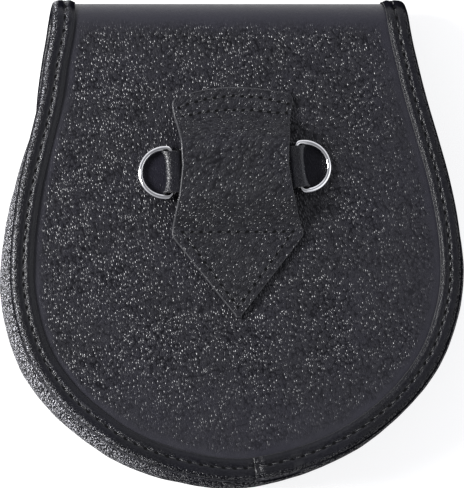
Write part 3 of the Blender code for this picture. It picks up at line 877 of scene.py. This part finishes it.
def seam_wave(at):
    """1 at the middle of a stitch, 0 between two stitches."""
    return 0.5 + 0.5 * np.cos(2 * math.pi * at / SEAM_PITCH)


def top_surface(inset, at, flat_side):
    """Height of the binding's face over its plain flat leg."""
    groove = np.exp(-(((inset - SEAM_INSET) / 0.75) ** 2))
    wave = seam_wave(at)
    puff = 0.20 * np.exp(-(((inset - 3.7) / 0.9) ** 2))
    strip = 0.10 * np.exp(-(((inset - 7.2) / 1.0) ** 2)) * (1.25 - 0.5 * wave)
    pucker = 0.05 * np.sin(2 * math.pi * at / SEAM_PITCH + inset) * np.exp(
        -(((inset - 6.4) / 1.2) ** 2)
    )
    turned = np.mod(at - LAP_END - 1.0, RIM.length)
    off = np.minimum(turned, RIM.length - turned)
    pull = np.exp(-((off / 4.2) ** 2)) * ease((inset - 1.2) / 1.5)
    pucker = pucker + 0.11 * pull * np.sin(2.3 * at + 1.1 * inset) + 0.07 * pull * np.sin(4.1 * at - 2.2 * inset)
    dip = -(0.22 + 0.34 * (1.0 - wave) ** 1.5) * groove - 0.60 * ease((inset - 7.5) / 1.8)
    return np.where(flat_side, dip - 0.02, dip + puff + strip + pucker)


def binding_rings(at):
    """Closed sections of the binding at distances along the rim."""
    count = len(at)
    rise = lap_rise(at)[:, None]
    spot = RIM.point(at)
    stack = (FLANGE_STACK * ease((-spot[:, 1] - 3.0) / 8.0))[:, None]
    on_flap = (spot[:, 1] > FOLD_LENGTH - 2.0)[:, None]
    middle = -stack / 2
    reach = BINDING_RISE + stack / 2 + rise
    shoulder = np.where(on_flap, 2.2, 2.5)
    face = 0.55 - rise * 0.75  # middle of the leather at the very edge
    # middle line: outer leg, rolled edge, inner leg
    leg = np.array([9.3, 8.9, 8.3, 7.6, 7.0, 6.4, 5.9, 5.4, 4.9, 4.4, 3.95])
    share = np.linspace(0.0, 1.0, 13)
    inset, lift, outer = [], [], []
    for value in leg:
        inset.append(np.full((count, 1), value))
        lift.append(BINDING_RISE + rise + 0.0 * stack)
    for t in share:
        turn = math.pi * t
        power = 0.78
        inset.append(shoulder - (shoulder - face) * math.sin(turn) ** 0.9)
        c = math.cos(turn)
        lift.append(middle + reach * math.copysign(abs(c) ** power, c))
    for value in (4.4, 5.4, 6.4, 7.4, BINDING_INNER_LEG):
        inset.append(np.full((count, 1), value))
        lift.append(middle - reach)
    inset = np.concatenate(inset, 1)
    lift = np.concatenate(lift, 1)
    # normals of the section in its own plane
    di, dl = np.gradient(inset, axis=1), np.gradient(lift, axis=1)
    size = np.maximum(np.hypot(di, dl), 1e-9)
    ni, nl = dl / size, -di / size
    face_lift = top_surface(inset, at[:, None], on_flap)
    on_top = np.zeros(inset.shape[1])
    on_top[: len(leg) + 3] = 1.0
    on_low = np.zeros(inset.shape[1])
    on_low[-5:] = 1.0
    half = BINDING_LEATHER / 2
    extra = face_lift * on_top
    under = -(0.20 + 0.2 * seam_wave(at[:, None])) * np.exp(-(((inset - SEAM_INSET) / 0.75) ** 2)) * on_low
    grow = np.maximum(half + extra + under - pared(at)[:, None], -0.35)
    oi, ol = inset + ni * grow, lift + nl * grow
    inner = slice(None, None, -2)
    ii = (inset - ni * half)[:, inner]
    il = (lift - nl * half)[:, inner]
    cut_a = (inset[:, -1:] + 0.28, lift[:, -1:])
    cut_b = (inset[:, :1] + 0.22, lift[:, :1] - 0.1)
    ring_i = np.concatenate([oi, cut_a[0], ii, cut_b[0]], 1)
    ring_l = np.concatenate([ol, cut_a[1], il, cut_b[1]], 1)
    edge = np.concatenate(
        [np.zeros(oi.shape[1] - 1), [1, 1], np.zeros(ii.shape[1] - 1), [1, 1]]
    )
    top = BINDING_RISE + half - 0.01
    ring_l = np.where(on_flap, np.minimum(ring_l, top), ring_l)
    flat = RIM.point(np.repeat(at[:, None], ring_i.shape[1], 1), ring_i)
    return bent(flat[..., 0], flat[..., 1], ring_l), ring_i, ring_l, edge.astype(np.int32)


def edge_binding():
    start, end = LAP_START, LAP_END - RIM.length
    at = np.linspace(start, end, int((start - end) / 0.62))
    rings, inset, lift, edge = binding_rings(at)
    x = RIM.point(at)[:, 0][:, None]
    # the rolled edge gets rubbed and the strip inside the seam is rougher, and both get darker pores, which is
    # painted shade; a painted highlight line runs along the outer edge at the lower left
    low_left = ease((-RIM.point(at)[:, 1] - 126.0) / 22.0) * ease((46.0 - x[:, 0]) / 24.0)
    wear_and_highlight = np.exp(-(((inset + 0.02) / 0.34) ** 2)) * (lift > -1.0) * low_left[:, None]
    rub_and_painted_light = (0.45 * np.exp(-(((inset - 5.9) / 0.9) ** 2)) + 1.0 - ease((inset - 1.5) / 1.3)) * (lift > -1.5)
    # painted glints along the roll and the seam on the left side, where the key lamp falls
    left = ease((-x - 25.0) / 45.0) * (lift > -1.5)
    glint_paint = left * (0.95 * np.exp(-(((inset - 1.25) / 0.46) ** 2)) + 0.26 * np.exp(-(((inset - 5.9) / 0.7) ** 2)))
    made = tube(
        "edge_binding_leather", rings, [BINDING, DARK_CUT], slots=edge,
        field={"wear_and_highlight": wear_and_highlight, "rub_and_painted_light": rub_and_painted_light, "glint_paint": glint_paint},
    )
    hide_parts("edge_binding")
    # seam through it, seen on both faces
    stitch = np.arange(LAP_START - 2.0, LAP_END + 2.0 - RIM.length, -SEAM_PITCH)
    stitch = np.round(stitch / SEAM_PITCH) * SEAM_PITCH
    for word, upper in (("outer", True), ("inner", False)):
        centre, along, out = seam_frame(stitch, upper)
        across = unit(np.cross(out, along))
        made = threads(
            "binding_stitches_" + word, centre, turned_by(along, across, -0.10), out, 3.5, 0.34,
            THREAD, sink=0.14, rise=0.10,
        )
        between, along, out = seam_frame(stitch + SEAM_PITCH / 2, upper)
        across = unit(np.cross(out, along))
        made = hole_shades(
            "binding_needle_hole_shades_" + word, between + out * 0.10 + across * 0.10,
            turned_by(along, across, -0.48), out, HOLE_SHADE, 1.05, 0.56,
        )


def turned_by(along, across, turn):
    return along * math.cos(turn) + across * math.sin(turn)


def seam_frame(at, upper):
    rise = lap_rise(at)
    spot = RIM.point(at)
    stack = FLANGE_STACK * ease((-spot[:, 1] - 3.0) / 8.0)
    flat = RIM.point(at, SEAM_INSET)
    ahead = RIM.point(at - 0.5, SEAM_INSET)
    if upper:
        lift = BINDING_RISE + BINDING_LEATHER / 2 + rise - 0.40 - 0.7 * pared(at)
        side = 1.0
    else:
        reach = BINDING_RISE + stack / 2 + rise
        lift = -stack / 2 - reach - BINDING_LEATHER / 2 + 0.36
        side = -1.0
    lift = np.broadcast_to(lift, flat[:, 0].shape)
    centre = bent(flat[:, 0], flat[:, 1], lift)
    along = unit(bent(ahead[:, 0], ahead[:, 1], lift) - centre)
    return centre, along, out_of(flat[:, 1]) * side


def body_section(at, rows):
    """Points of the gusset's middle line at distances along the rim."""
    spot = RIM.point(at)
    out = belly(spot)
    share = np.array([row[0] for row in rows])
    inset = np.stack(
        [np.full(len(at), row[2]) if row[2] is not None else row[1] - out for row in rows], 1
    )
    # rounded through the rows
    t = np.arange(len(rows), dtype=float)
    fine = np.linspace(0.0, len(rows) - 1, 54)
    share = rounded(t, share[None, :], fine)
    inset = rounded(t, inset, fine)
    share = np.broadcast_to(np.clip(share, 0.0, 1.0), inset.shape)
    return inset, share, fine


def rounded(t, values, fine):
    """Catmull-Rom through evenly spaced columns of values."""
    count = values.shape[1]
    low = np.clip(fine.astype(int), 0, count - 2)
    f = fine - low
    p1, p2 = values[:, low], values[:, low + 1]
    p0 = np.where(low > 0, values[:, np.maximum(low - 1, 0)], 2 * p1 - p2)
    p3 = np.where(low + 2 < count, values[:, np.minimum(low + 2, count - 1)], 2 * p2 - p1)
    return 0.5 * (
        2 * p1 + (p2 - p0) * f + (2 * p0 - 5 * p1 + 4 * p2 - p3) * f**2
        + (3 * p1 - p0 - 3 * p2 + p3) * f**3
    )


def side_run(top, step):
    """Distances round the bottom, from the left top to the right top."""
    at = np.arange(0.0, RIM.length / 2, step)
    right = at[RIM.point(at)[:, 1] <= -top][-1]
    back = at[RIM.point(-at)[:, 1] <= -top][-1]
    count = int((right + back) / step)
    return np.linspace(-back, right, count)


def gusset():
    at = side_run(GUSSET_TOP, 1.25)
    inset, share, fine = body_section(at, GUSSET_SECTION)
    grid_at = np.repeat(at[:, None], inset.shape[1], 1)
    # soft wrinkles that run across the strip
    body = ease((share - 0.08) / 0.25) * ease((1.0 - share) / 0.12)
    wrinkle = 0.12 * waves(grid_at, share * 18.0, 30.0, 21) + 0.08 * waves(
        grid_at, share * 9.0, 9.0, 22
    )
    flat = RIM.point(grid_at, inset - wrinkle * body)
    back = bent(flat[..., 0], np.minimum(flat[..., 1], 0.0), -(LEATHER / 2 + GAP + GUSSET_LEATHER / 2))
    z = mix(back[..., 2], GUSSET_FRONT_Z, share)
    middle = np.stack([flat[..., 0], back[..., 1], z], -1)
    # a faint lighter band along the belly, partly wear and partly painted highlight
    wear_and_highlight = np.exp(-(((share - 0.6) / 0.25) ** 2)) * 0.8
    # painted highlight: light glint flecks on the shoulder of the left side, where the key lamp falls, most of all
    # below the middle
    down = -flat[..., 1]
    glint_paint = ease((share - 0.15) / 0.10) * ease((0.66 - share) / 0.16) * ease((-flat[..., 0] - 20.0) / 45.0)
    glint_paint = glint_paint * (0.25 + 0.75 * ease((down - 45.0) / 42.0))
    made = slab(
        "gusset_strip_leather", middle, GUSSET_LEATHER, [GUSSET, DARK_CUT], cut_slot=1,
        field={"wear_and_highlight": wear_and_highlight, "rub_and_painted_light": np.zeros_like(wear_and_highlight), "glint_paint": glint_paint},
    )
    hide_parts("gusset")


def front_panel():
    def edge(at):
        spot = RIM.point(at)
        flat = RIM.point(at, FRONT_INSET - belly(spot))
        y = bent(flat[:, 0], flat[:, 1])[:, 1]
        return np.stack([flat[:, 0], y, np.full(len(y), FRONT_Z)], -1)

    corner = RIM.stops[1]
    last = RIM.stops[-2]
    low_at = np.linspace(last - RIM.length, corner, 2 * ACROSS + 1)
    run = side_run(MOUTH, 0.5)
    up = 74
    right = edge(np.linspace(corner, run[-1], up))
    left = edge(np.linspace(last - RIM.length, run[0], up))
    bottom = edge(low_at)
    u = np.linspace(0.0, 1.0, 2 * ACROSS + 1)
    top = mix(left[-1][None], right[-1][None], u[:, None])
    top[:, 1] -= MOUTH_DIP * np.sin(math.pi * u) ** 2
    share = np.linspace(0.0, 1.0, up)
    grid = patch(bottom, left, right, top, (1 - share) ** 1.3, share**3)
    mouth = (share[::-1][:, None] * np.ones(2 * ACROSS + 1)) * 150.0
    side = np.minimum(u, 1 - u)[None, :] * 150.0
    edge_at = np.minimum(mouth, side + 0.0 * mouth)
    # the cut edge is rounded along the mouth and the two sides
    made = slab(
        "front_panel_leather", grid[::-1], LEATHER, [FLAP_IN, CUT], cut_slot=1,
        edge=edge_at[::-1], round_edge=0.5,
    )
    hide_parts("front_panel")
    # seam that holds it on the gusset's turned edge
    at = np.arange(run[0] + 8.0, run[-1] - 8.0, 4.0)
    spot = RIM.point(at)
    flat = RIM.point(at, 5.6 - belly(spot))
    ahead = RIM.point(at + 0.5, 5.6 - belly(spot))
    z = FRONT_Z - LEATHER / 2 - 0.02

    def lying(p):
        return np.stack([p[:, 0], bent(p[:, 0], p[:, 1])[:, 1], np.full(len(p), z)], -1)

    centre = lying(flat)
    along = unit(lying(ahead) - centre)
    out = np.tile([0.0, 0.0, -1.0], (len(at), 1))
    made = threads("front_stitches", centre, along, out, 3.0, 0.34, THREAD, sink=0.15, rise=0.12)


def even_slope(down, start, end):
    """0 to 1 along a straight slope that is rounded at its foot and its top."""
    run, bend = end - start, LOOP_ROUND
    at = np.clip(down - start, 0.0, run)
    steep = 1.0 / (run - bend)
    foot = steep * at**2 / (2 * bend)
    head = 1.0 - steep * (run - at) ** 2 / (2 * bend)
    return np.where(at < bend, foot, np.where(at > run - bend, head, steep * (at - bend / 2)))


def loop_lift(down):
    up = even_slope(down, *LOOP_RISE)
    fall = even_slope(down, *LOOP_FALL)
    return GAP + (LOOP_LIFT - GAP) * up * (1.0 - fall)


def loop_surface(x_share, down, mid_lift=0.0):
    """Point of the loop at a share of its width and a distance down the back."""
    a = np.interp(down, column(LOOP_OUTLINE, 0), column(LOOP_OUTLINE, 1))
    b = np.interp(down, column(LOOP_OUTLINE, 0), column(LOOP_OUTLINE, 2))
    top = LOOP_OUTLINE[0][0]
    # rounded top corners
    cut = LOOP_CORNER * (1 - np.sqrt(np.clip(1 - (1 - np.clip((down - top) / LOOP_CORNER, 0, 1)) ** 2, 0, 1)))
    a, b = a + cut, b - cut
    arch = LOOP_ARCH * np.clip(1.0 - (down - top) / 16.0, 0.0, None)
    off = 2.0 * x_share - 1.0
    up = arch * (1.0 - off**2) + arch / LOOP_ARCH * np.where(off > 0, LOOP_SHOULDERS[1], LOOP_SHOULDERS[0]) * off**2
    x = mix(a, b, x_share)
    return x, down - up, loop_lift(down - up) + LEATHER / 2 + LOOP_LEATHER / 2 + mid_lift


def smooth_outline():
    """The loop's outline, its two sides read at even steps down the back, straight between the rows."""
    rows = np.array(LOOP_OUTLINE)
    keep = [0, 1, 2, 3, 4, 5, 6, 7, 8]
    from_top = rows[keep]
    down = np.concatenate([np.arange(32.0, 87.8, 0.5), rows[8:, 0]])
    out = []
    for col in (1, 2):
        side = np.interp(down, rows[:, 0], rows[:, col])
        out.append(side)
    return down, out


def belt_loop():
    top, glint_cell = LOOP_OUTLINE[0][0], LOOP_OUTLINE[-1][0]
    down = np.unique(np.concatenate([
        top + np.array([0.0, 0.08, 0.2, 0.4, 0.7, 1.1, 1.5]),
        np.arange(top + 2.0, glint_cell - 1.0, 0.8),
        glint_cell - np.array([1.1, 0.7, 0.4, 0.2, 0.08, 0.0]),
        column(LOOP_OUTLINE, 0),
    ]))
    near = np.array([0.0, 0.06, 0.16, 0.3, 0.5, 0.8])
    share = np.concatenate([near / 50.0, np.linspace(0.022, 0.978, 60), 1 - near[::-1] / 50.0])
    d, u = np.meshgrid(down, share, indexing="ij")
    x, q, lift = loop_surface(u, d)
    width = x[:, -1:] - x[:, :1]
    side = np.minimum(u, 1 - u) * width
    # the slanted edges of the point are nearer than their distance across
    slope = np.abs(np.gradient(x[:, 0], down))[:, None]
    side = side / np.sqrt(1 + slope**2)
    edge = np.minimum(side, np.minimum(d - top, glint_cell - d))
    edge = np.maximum(edge, 0.0)
    sag = -0.35 * np.exp(-(((q - 63.0) / 11.0) ** 2)) * (1 - (2 * u - 1) ** 2)
    press = stitched_dip(x, q)
    middle = bent(x, -q, lift + sag)
    made = slab(
        "belt_loop_leather", middle, LOOP_LEATHER, [LOOP, CUT], edge=edge, round_edge=0.42,
        cut_slot=1, outer=press,
        normals=facing(middle, -q),
    )
    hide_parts("belt_loop")
    centre, along = loop_seams()
    spots, ways, outs = lay_on_loop(centre, along)
    made = threads("belt_loop_stitches", spots, ways, outs, 2.6, 0.28, LOOP_THREAD, sink=0.26, rise=0.10)
    ends, both = spots + ways * LOOP_PITCH / 2, outs
    made = hole_shades("belt_loop_needle_hole_shades", ends + both * 0.14, turned_by(ways, unit(np.cross(both, ways)), 0.5), both, HOLE_SHADE, 0.78, 0.56)


def facing(middle, s):
    """Normals turned to the outside of the back."""
    n = grid_normals(middle)
    sign = np.sign((n * out_of(s)).sum(-1, keepdims=True))
    return n * np.where(sign == 0, 1.0, sign)


LOOP_SEAMS = (
    # lines of stitches on the loop: down, across at each corner of the line
    ((34.8, -23.6), (31.5, -12.0), (30.1, -0.6), (31.0, 11.0), (33.6, 22.3)),
    ((33.6, 22.3), (37.8, 21.6)),
    ((37.8, 21.6), (36.4, 8.0), (36.1, -4.0), (36.9, -13.0), (39.1, -22.0)),
    ((39.1, -22.0), (34.8, -23.6)),
    ((87.2, -23.1), (87.4, 22.9)),
    ((87.4, 22.9), (118.7, -0.9)),
    ((118.7, -0.9), (87.2, -23.1)),
)
LOOP_PITCH = 3.8


def seam_points(line, pitch):
    pts = np.array([(x, d) for d, x in line], float)
    steps = np.linalg.norm(np.diff(pts, axis=0), axis=1)
    at = np.concatenate([[0.0], np.cumsum(steps)])
    count = max(1, round(at[-1] / pitch))
    mid = (np.arange(count) + 0.5) * at[-1] / count
    spot = np.stack([np.interp(mid, at, pts[:, 0]), np.interp(mid, at, pts[:, 1])], 1)
    nudge = 0.05
    ahead = np.stack([np.interp(mid + nudge, at, pts[:, 0]), np.interp(mid + nudge, at, pts[:, 1])], 1)
    return spot, unit(ahead - spot)


def loop_seams():
    spots, ways = [], []
    for line in LOOP_SEAMS:
        spot, way = seam_points(line, LOOP_PITCH)
        spots.append(spot)
        ways.append(way)
    return np.concatenate(spots), np.concatenate(ways)


def lay_on_loop(spot, way):
    """Stitches (x, down) laid on the loop's face."""
    lift = loop_lift(spot[:, 1]) + LEATHER / 2 + LOOP_LEATHER - 0.16
    ahead = spot + way * 0.5
    lift_ahead = loop_lift(ahead[:, 1]) + LEATHER / 2 + LOOP_LEATHER - 0.16
    here = bent(spot[:, 0], -spot[:, 1], lift)
    there = bent(ahead[:, 0], -ahead[:, 1], lift_ahead)
    return here, unit(there - here), out_of(-spot[:, 1])


def stitched_dip(x, q):
    """The loop's face is drawn in along its seams."""
    total = np.zeros_like(x)
    for line in LOOP_SEAMS:
        spot, way = seam_points(line, LOOP_PITCH)
        for (sx, sd), (wx, wd) in zip(spot, way):
            dx, dd = x - sx, q - sd
            run = dx * wx + dd * wd
            off = -dx * wd + dd * wx
            total = np.minimum(total, -0.26 * np.exp(-((off / 0.62) ** 2) - (run / 1.75) ** 4))
    return total


def ring_tab(word, side, across, down, turned, slack):
    """Strip folded round the ring's bar, flat on top, then down on its own tail."""
    middle = CHANNEL + TAB_LEATHER / 2
    upper = TAB_LEATHER * 1.5 + 2 * GAP - AXIS_LIFT
    half = TAB_WIDTH / 2
    near = np.array([0.0, 0.05, 0.12, 0.22, 0.4, 0.7])
    y = np.concatenate([near - half, np.linspace(1.1 - half, half - 1.1, 27), half - near[::-1]])
    rows = []
    for spot in y:
        out = middle + slack + TAB_FLARE * abs(spot / half) ** 3
        low = np.stack([np.linspace(-TAB_TAIL, 0.0, 16), np.full(16, -middle)], 1)
        turn = np.radians(np.arange(-84, 85, 6))
        tight = 0.70
        nose = np.stack([
            out * np.abs(np.cos(turn)) ** tight,
            middle * np.sign(turn) * np.abs(np.sin(turn)) ** tight,
        ], 1)
        top = np.stack([np.linspace(0.0, -TAB_FLAT, 6), np.full(6, middle)], 1)
        share = np.linspace(0.0, 1.0, 19)[1:]
        fall = np.stack([-TAB_FLAT - TAB_FALL * share, mix(middle, upper, ease(share))], 1)
        tail = np.stack([np.linspace(-TAB_FLAT - TAB_FALL, -TAB_TAIL, 12)[1:], np.full(11, upper)], 1)
        rows.append(np.concatenate([low, nose, top, fall, tail]))
    line = np.array(rows)
    yy = np.repeat(y[:, None], line.shape[1], 1)
    grid = np.stack([side * line[..., 0], yy, line[..., 1]], -1)
    edge = np.minimum(yy + half, half - yy)
    frame_m = back_frame(across, down, AXIS_LIFT, math.radians(turned))
    turn_m = np.array(frame_m.to_3x3())
    place = np.array(frame_m.translation) / MM
    n = grid_normals(grid) @ turn_m.T
    world = grid @ turn_m.T + place
    # lighter along the nose, partly wear and partly painted highlight, and a painted highlight where the top bends
    # down at the loop
    px, pz = line[..., 0], line[..., 1]
    nose = np.exp(-(((px - 1.75) / 0.45) ** 2)) * (pz > 0.4)
    bend = 0.8 * np.exp(-(((px + TAB_FLAT + 0.5) / 0.35) ** 2)) * (pz > 0.4)
    wear_and_highlight = nose + bend
    # the right tab takes the lighter copy of the leather, which is painted light against the loop's shadow
    made = slab(
        "ring_tab_leather_" + word, world, TAB_LEATHER, [TAB_PAINTED_LIGHT if word == "right" else TAB, CUT], edge=edge,
        round_edge=0.25, cut_slot=1, normals=n, body="pouch",
        field={"wear_and_highlight": wear_and_highlight, "rub_and_painted_light": np.zeros_like(wear_and_highlight)},
    )
    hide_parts("ring_tab_" + word)


def d_ring(word, side, across, down, turned, slack):
    pts = []
    straight = RING_HALF - RING_CORNER
    pts += [(0.0, y) for y in np.linspace(-straight, straight, 12)]
    for t in np.linspace(0.0, math.pi / 2, 10)[1:]:
        pts.append((RING_CORNER * (1 - math.cos(t)), straight + RING_CORNER * math.sin(t)))
    shoulder = RING_CORNER + 0.7
    bow = RING_DEPTH - shoulder
    for t in np.linspace(math.pi / 2, -math.pi / 2, 90):
        pts.append((shoulder + bow * math.cos(t), RING_HALF * math.sin(t)))
    for t in np.linspace(math.pi / 2, 0.0, 10)[:-1]:
        pts.append((RING_CORNER * (1 - math.cos(t)), -straight - RING_CORNER * math.sin(t)))
    line = np.array(pts)
    tangent = unit(np.roll(line, -1, 0) - np.roll(line, 1, 0))
    across_wire = np.stack([tangent[:, 1], -tangent[:, 0]], 1)
    turn = np.arange(22) * 2 * math.pi / 22
    ring = (
        np.concatenate([line, np.zeros((len(line), 1))], 1)[:, None, :]
        + np.concatenate([across_wire, np.zeros((len(line), 1))], 1)[:, None, :]
        * (WIRE / 2 * np.cos(turn))[None, :, None]
    )
    ring[..., 2] += (WIRE / 2 * np.sin(turn))[None, :]
    ring[..., 0] *= side
    drop = math.asin((AXIS_LIFT - GAP - WIRE / 2) / RING_DEPTH)
    frame_m = back_frame(across, down, AXIS_LIFT, math.radians(turned)) @ Matrix.Rotation(side * drop, 4, "Y")
    turn_m = np.array(frame_m.to_3x3())
    place = np.array(frame_m.translation) / MM
    made = tube("d_ring_wire_" + word, ring @ turn_m.T + place, [STEEL], closed=True, body="ring_" + word)
    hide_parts("d_ring_" + word)


def flap_snap():
    low = FLAP_LIFT + LEATHER / 2 + GAP
    profile = (
        # radius, height
        (0.0, 0.0), (6.6, 0.0), (7.0, 0.15), (7.0, 0.7), (6.75, 1.0), (6.2, 1.12),
        (5.6, 1.0), (5.2, 0.72), (3.2, 0.66), (2.7, 0.8), (2.2, 1.12), (1.2, 1.18), (0.0, 1.2),
    )
    turn = np.arange(64) * 2 * math.pi / 64
    rings = []
    for r, h in profile:
        r = max(r, 0.01)
        rings.append(np.stack([r * np.cos(turn), r * np.sin(turn) + FOLD_Y - SNAP_DOWN, np.full(64, low + h)], -1))
    made = tube("flap_snap_disc", np.array(rings), [SNAP_STEEL])
    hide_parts("flap_snap")


back_and_flap()
edge_binding()
gusset()
front_panel()
belt_loop()
for row in TABS:
    ring_tab(*row)
    d_ring(*row)
flap_snap()


# ================================================================ stage
def floor():
    mesh = bpy.data.meshes.new("floor")
    bm = bmesh.new()
    bmesh.ops.create_grid(bm, x_segments=1, y_segments=1, size=3.0)
    bm.to_mesh(mesh)
    bm.free()
    obj = bpy.data.objects.new("floor", mesh)
    bpy.context.scene.collection.objects.link(obj)
    obj.location.z = -0.0002
    k = Nodes("floor_paper")
    speck = k.noise(k.coords(), 60.0, 3.0)
    k.link(k.colour(speck, (0.42, 0.42, 0.42), (0.44, 0.44, 0.44)), k.shader.inputs["Base Color"])
    k.shader.inputs["Roughness"].default_value = 0.9
    # a light table: the white sheet glows a little
    k.shader.inputs["Emission Color"].default_value = (1.0, 1.0, 1.0, 1.0)
    k.shader.inputs["Emission Strength"].default_value = 0.75
    mesh.materials.append(k.mat)


def lamp(name, spot, target, size, power, colour=(1.0, 1.0, 1.0), size_y=None):
    data = bpy.data.lights.new(name, "AREA")
    data.shape = "RECTANGLE"
    data.size = size
    data.size_y = size_y or size
    data.energy = power
    data.color = colour
    obj = bpy.data.objects.new(name, data)
    bpy.context.scene.collection.objects.link(obj)
    obj.location = spot
    way = Vector(target) - Vector(spot)
    obj.rotation_mode = "QUATERNION"
    obj.rotation_quaternion = way.to_track_quat("-Z", "Y")
    return obj


floor()
lamp("key_left", (-1.05, 0.14, 0.68), (0.0, 0.0, 0.0), 0.50, 34.0, size_y=0.45)
lamp("fill_right", (1.15, -0.25, 0.95), (0.0, 0.0, 0.0), 1.4, 4.0, colour=(0.95, 0.97, 1.0), size_y=1.4)
world = bpy.data.worlds.new("studio")
bpy.context.scene.world = world
world.use_nodes = True
sky = world.node_tree.nodes["Background"]
sky.inputs["Color"].default_value = (0.92, 0.93, 1.0, 1.0)
# a little darker overhead than round about
ways = world.node_tree.nodes.new("ShaderNodeTexCoord")
split = world.node_tree.nodes.new("ShaderNodeSeparateXYZ")
level = world.node_tree.nodes.new("ShaderNodeMapRange")
level.inputs["From Min"].default_value = 0.30
level.inputs["From Max"].default_value = 0.96
level.inputs["To Min"].default_value = 1.05
level.inputs["To Max"].default_value = 0.22
world.node_tree.links.new(ways.outputs["Generated"], split.inputs[0])
world.node_tree.links.new(split.outputs["Z"], level.inputs["Value"])
lower = world.node_tree.nodes.new("ShaderNodeMapRange")
lower.inputs["From Min"].default_value = -0.95
lower.inputs["From Max"].default_value = -0.10
lower.inputs["To Min"].default_value = 0.48
lower.inputs["To Max"].default_value = 1.0
both = world.node_tree.nodes.new("ShaderNodeMath")
both.operation = "MULTIPLY"
world.node_tree.links.new(split.outputs["Y"], lower.inputs["Value"])
world.node_tree.links.new(level.outputs["Result"], both.inputs[0])
world.node_tree.links.new(lower.outputs["Result"], both.inputs[1])
world.node_tree.links.new(both.outputs[0], sky.inputs["Strength"])

bpy.context.scene.view_settings.view_transform = "Standard"

# camera at the photograph's angle
DISTANCE, TARGET = 1.2, Vector((0.0, 0.0, 0.028))
away = Vector((-math.tan(math.radians(7.0)), -math.tan(math.radians(3.5)), 1.0)).normalized()
side_way = Vector((0.0, 1.0, 0.0)).cross(away).normalized()
up_way = away.cross(side_way)
roll = math.radians(-0.97637)
right_way = side_way * math.cos(roll) + up_way * math.sin(roll)
top_way = -side_way * math.sin(roll) + up_way * math.cos(roll)
camera = bpy.data.cameras.new("camera")
camera.sensor_width = 36.0
camera.lens = 213.3
camera.shift_x = -0.0101
camera.shift_y = -0.0044
camera.clip_end = 50.0
eye = bpy.data.objects.new("camera", camera)
bpy.context.scene.collection.objects.link(eye)
axes = Matrix((right_way, top_way, away)).transposed()
eye.matrix_world = Matrix.Translation(TARGET + away * DISTANCE) @ axes.to_4x4()
bpy.context.scene.camera = eye

bpy.context.view_layer.update()
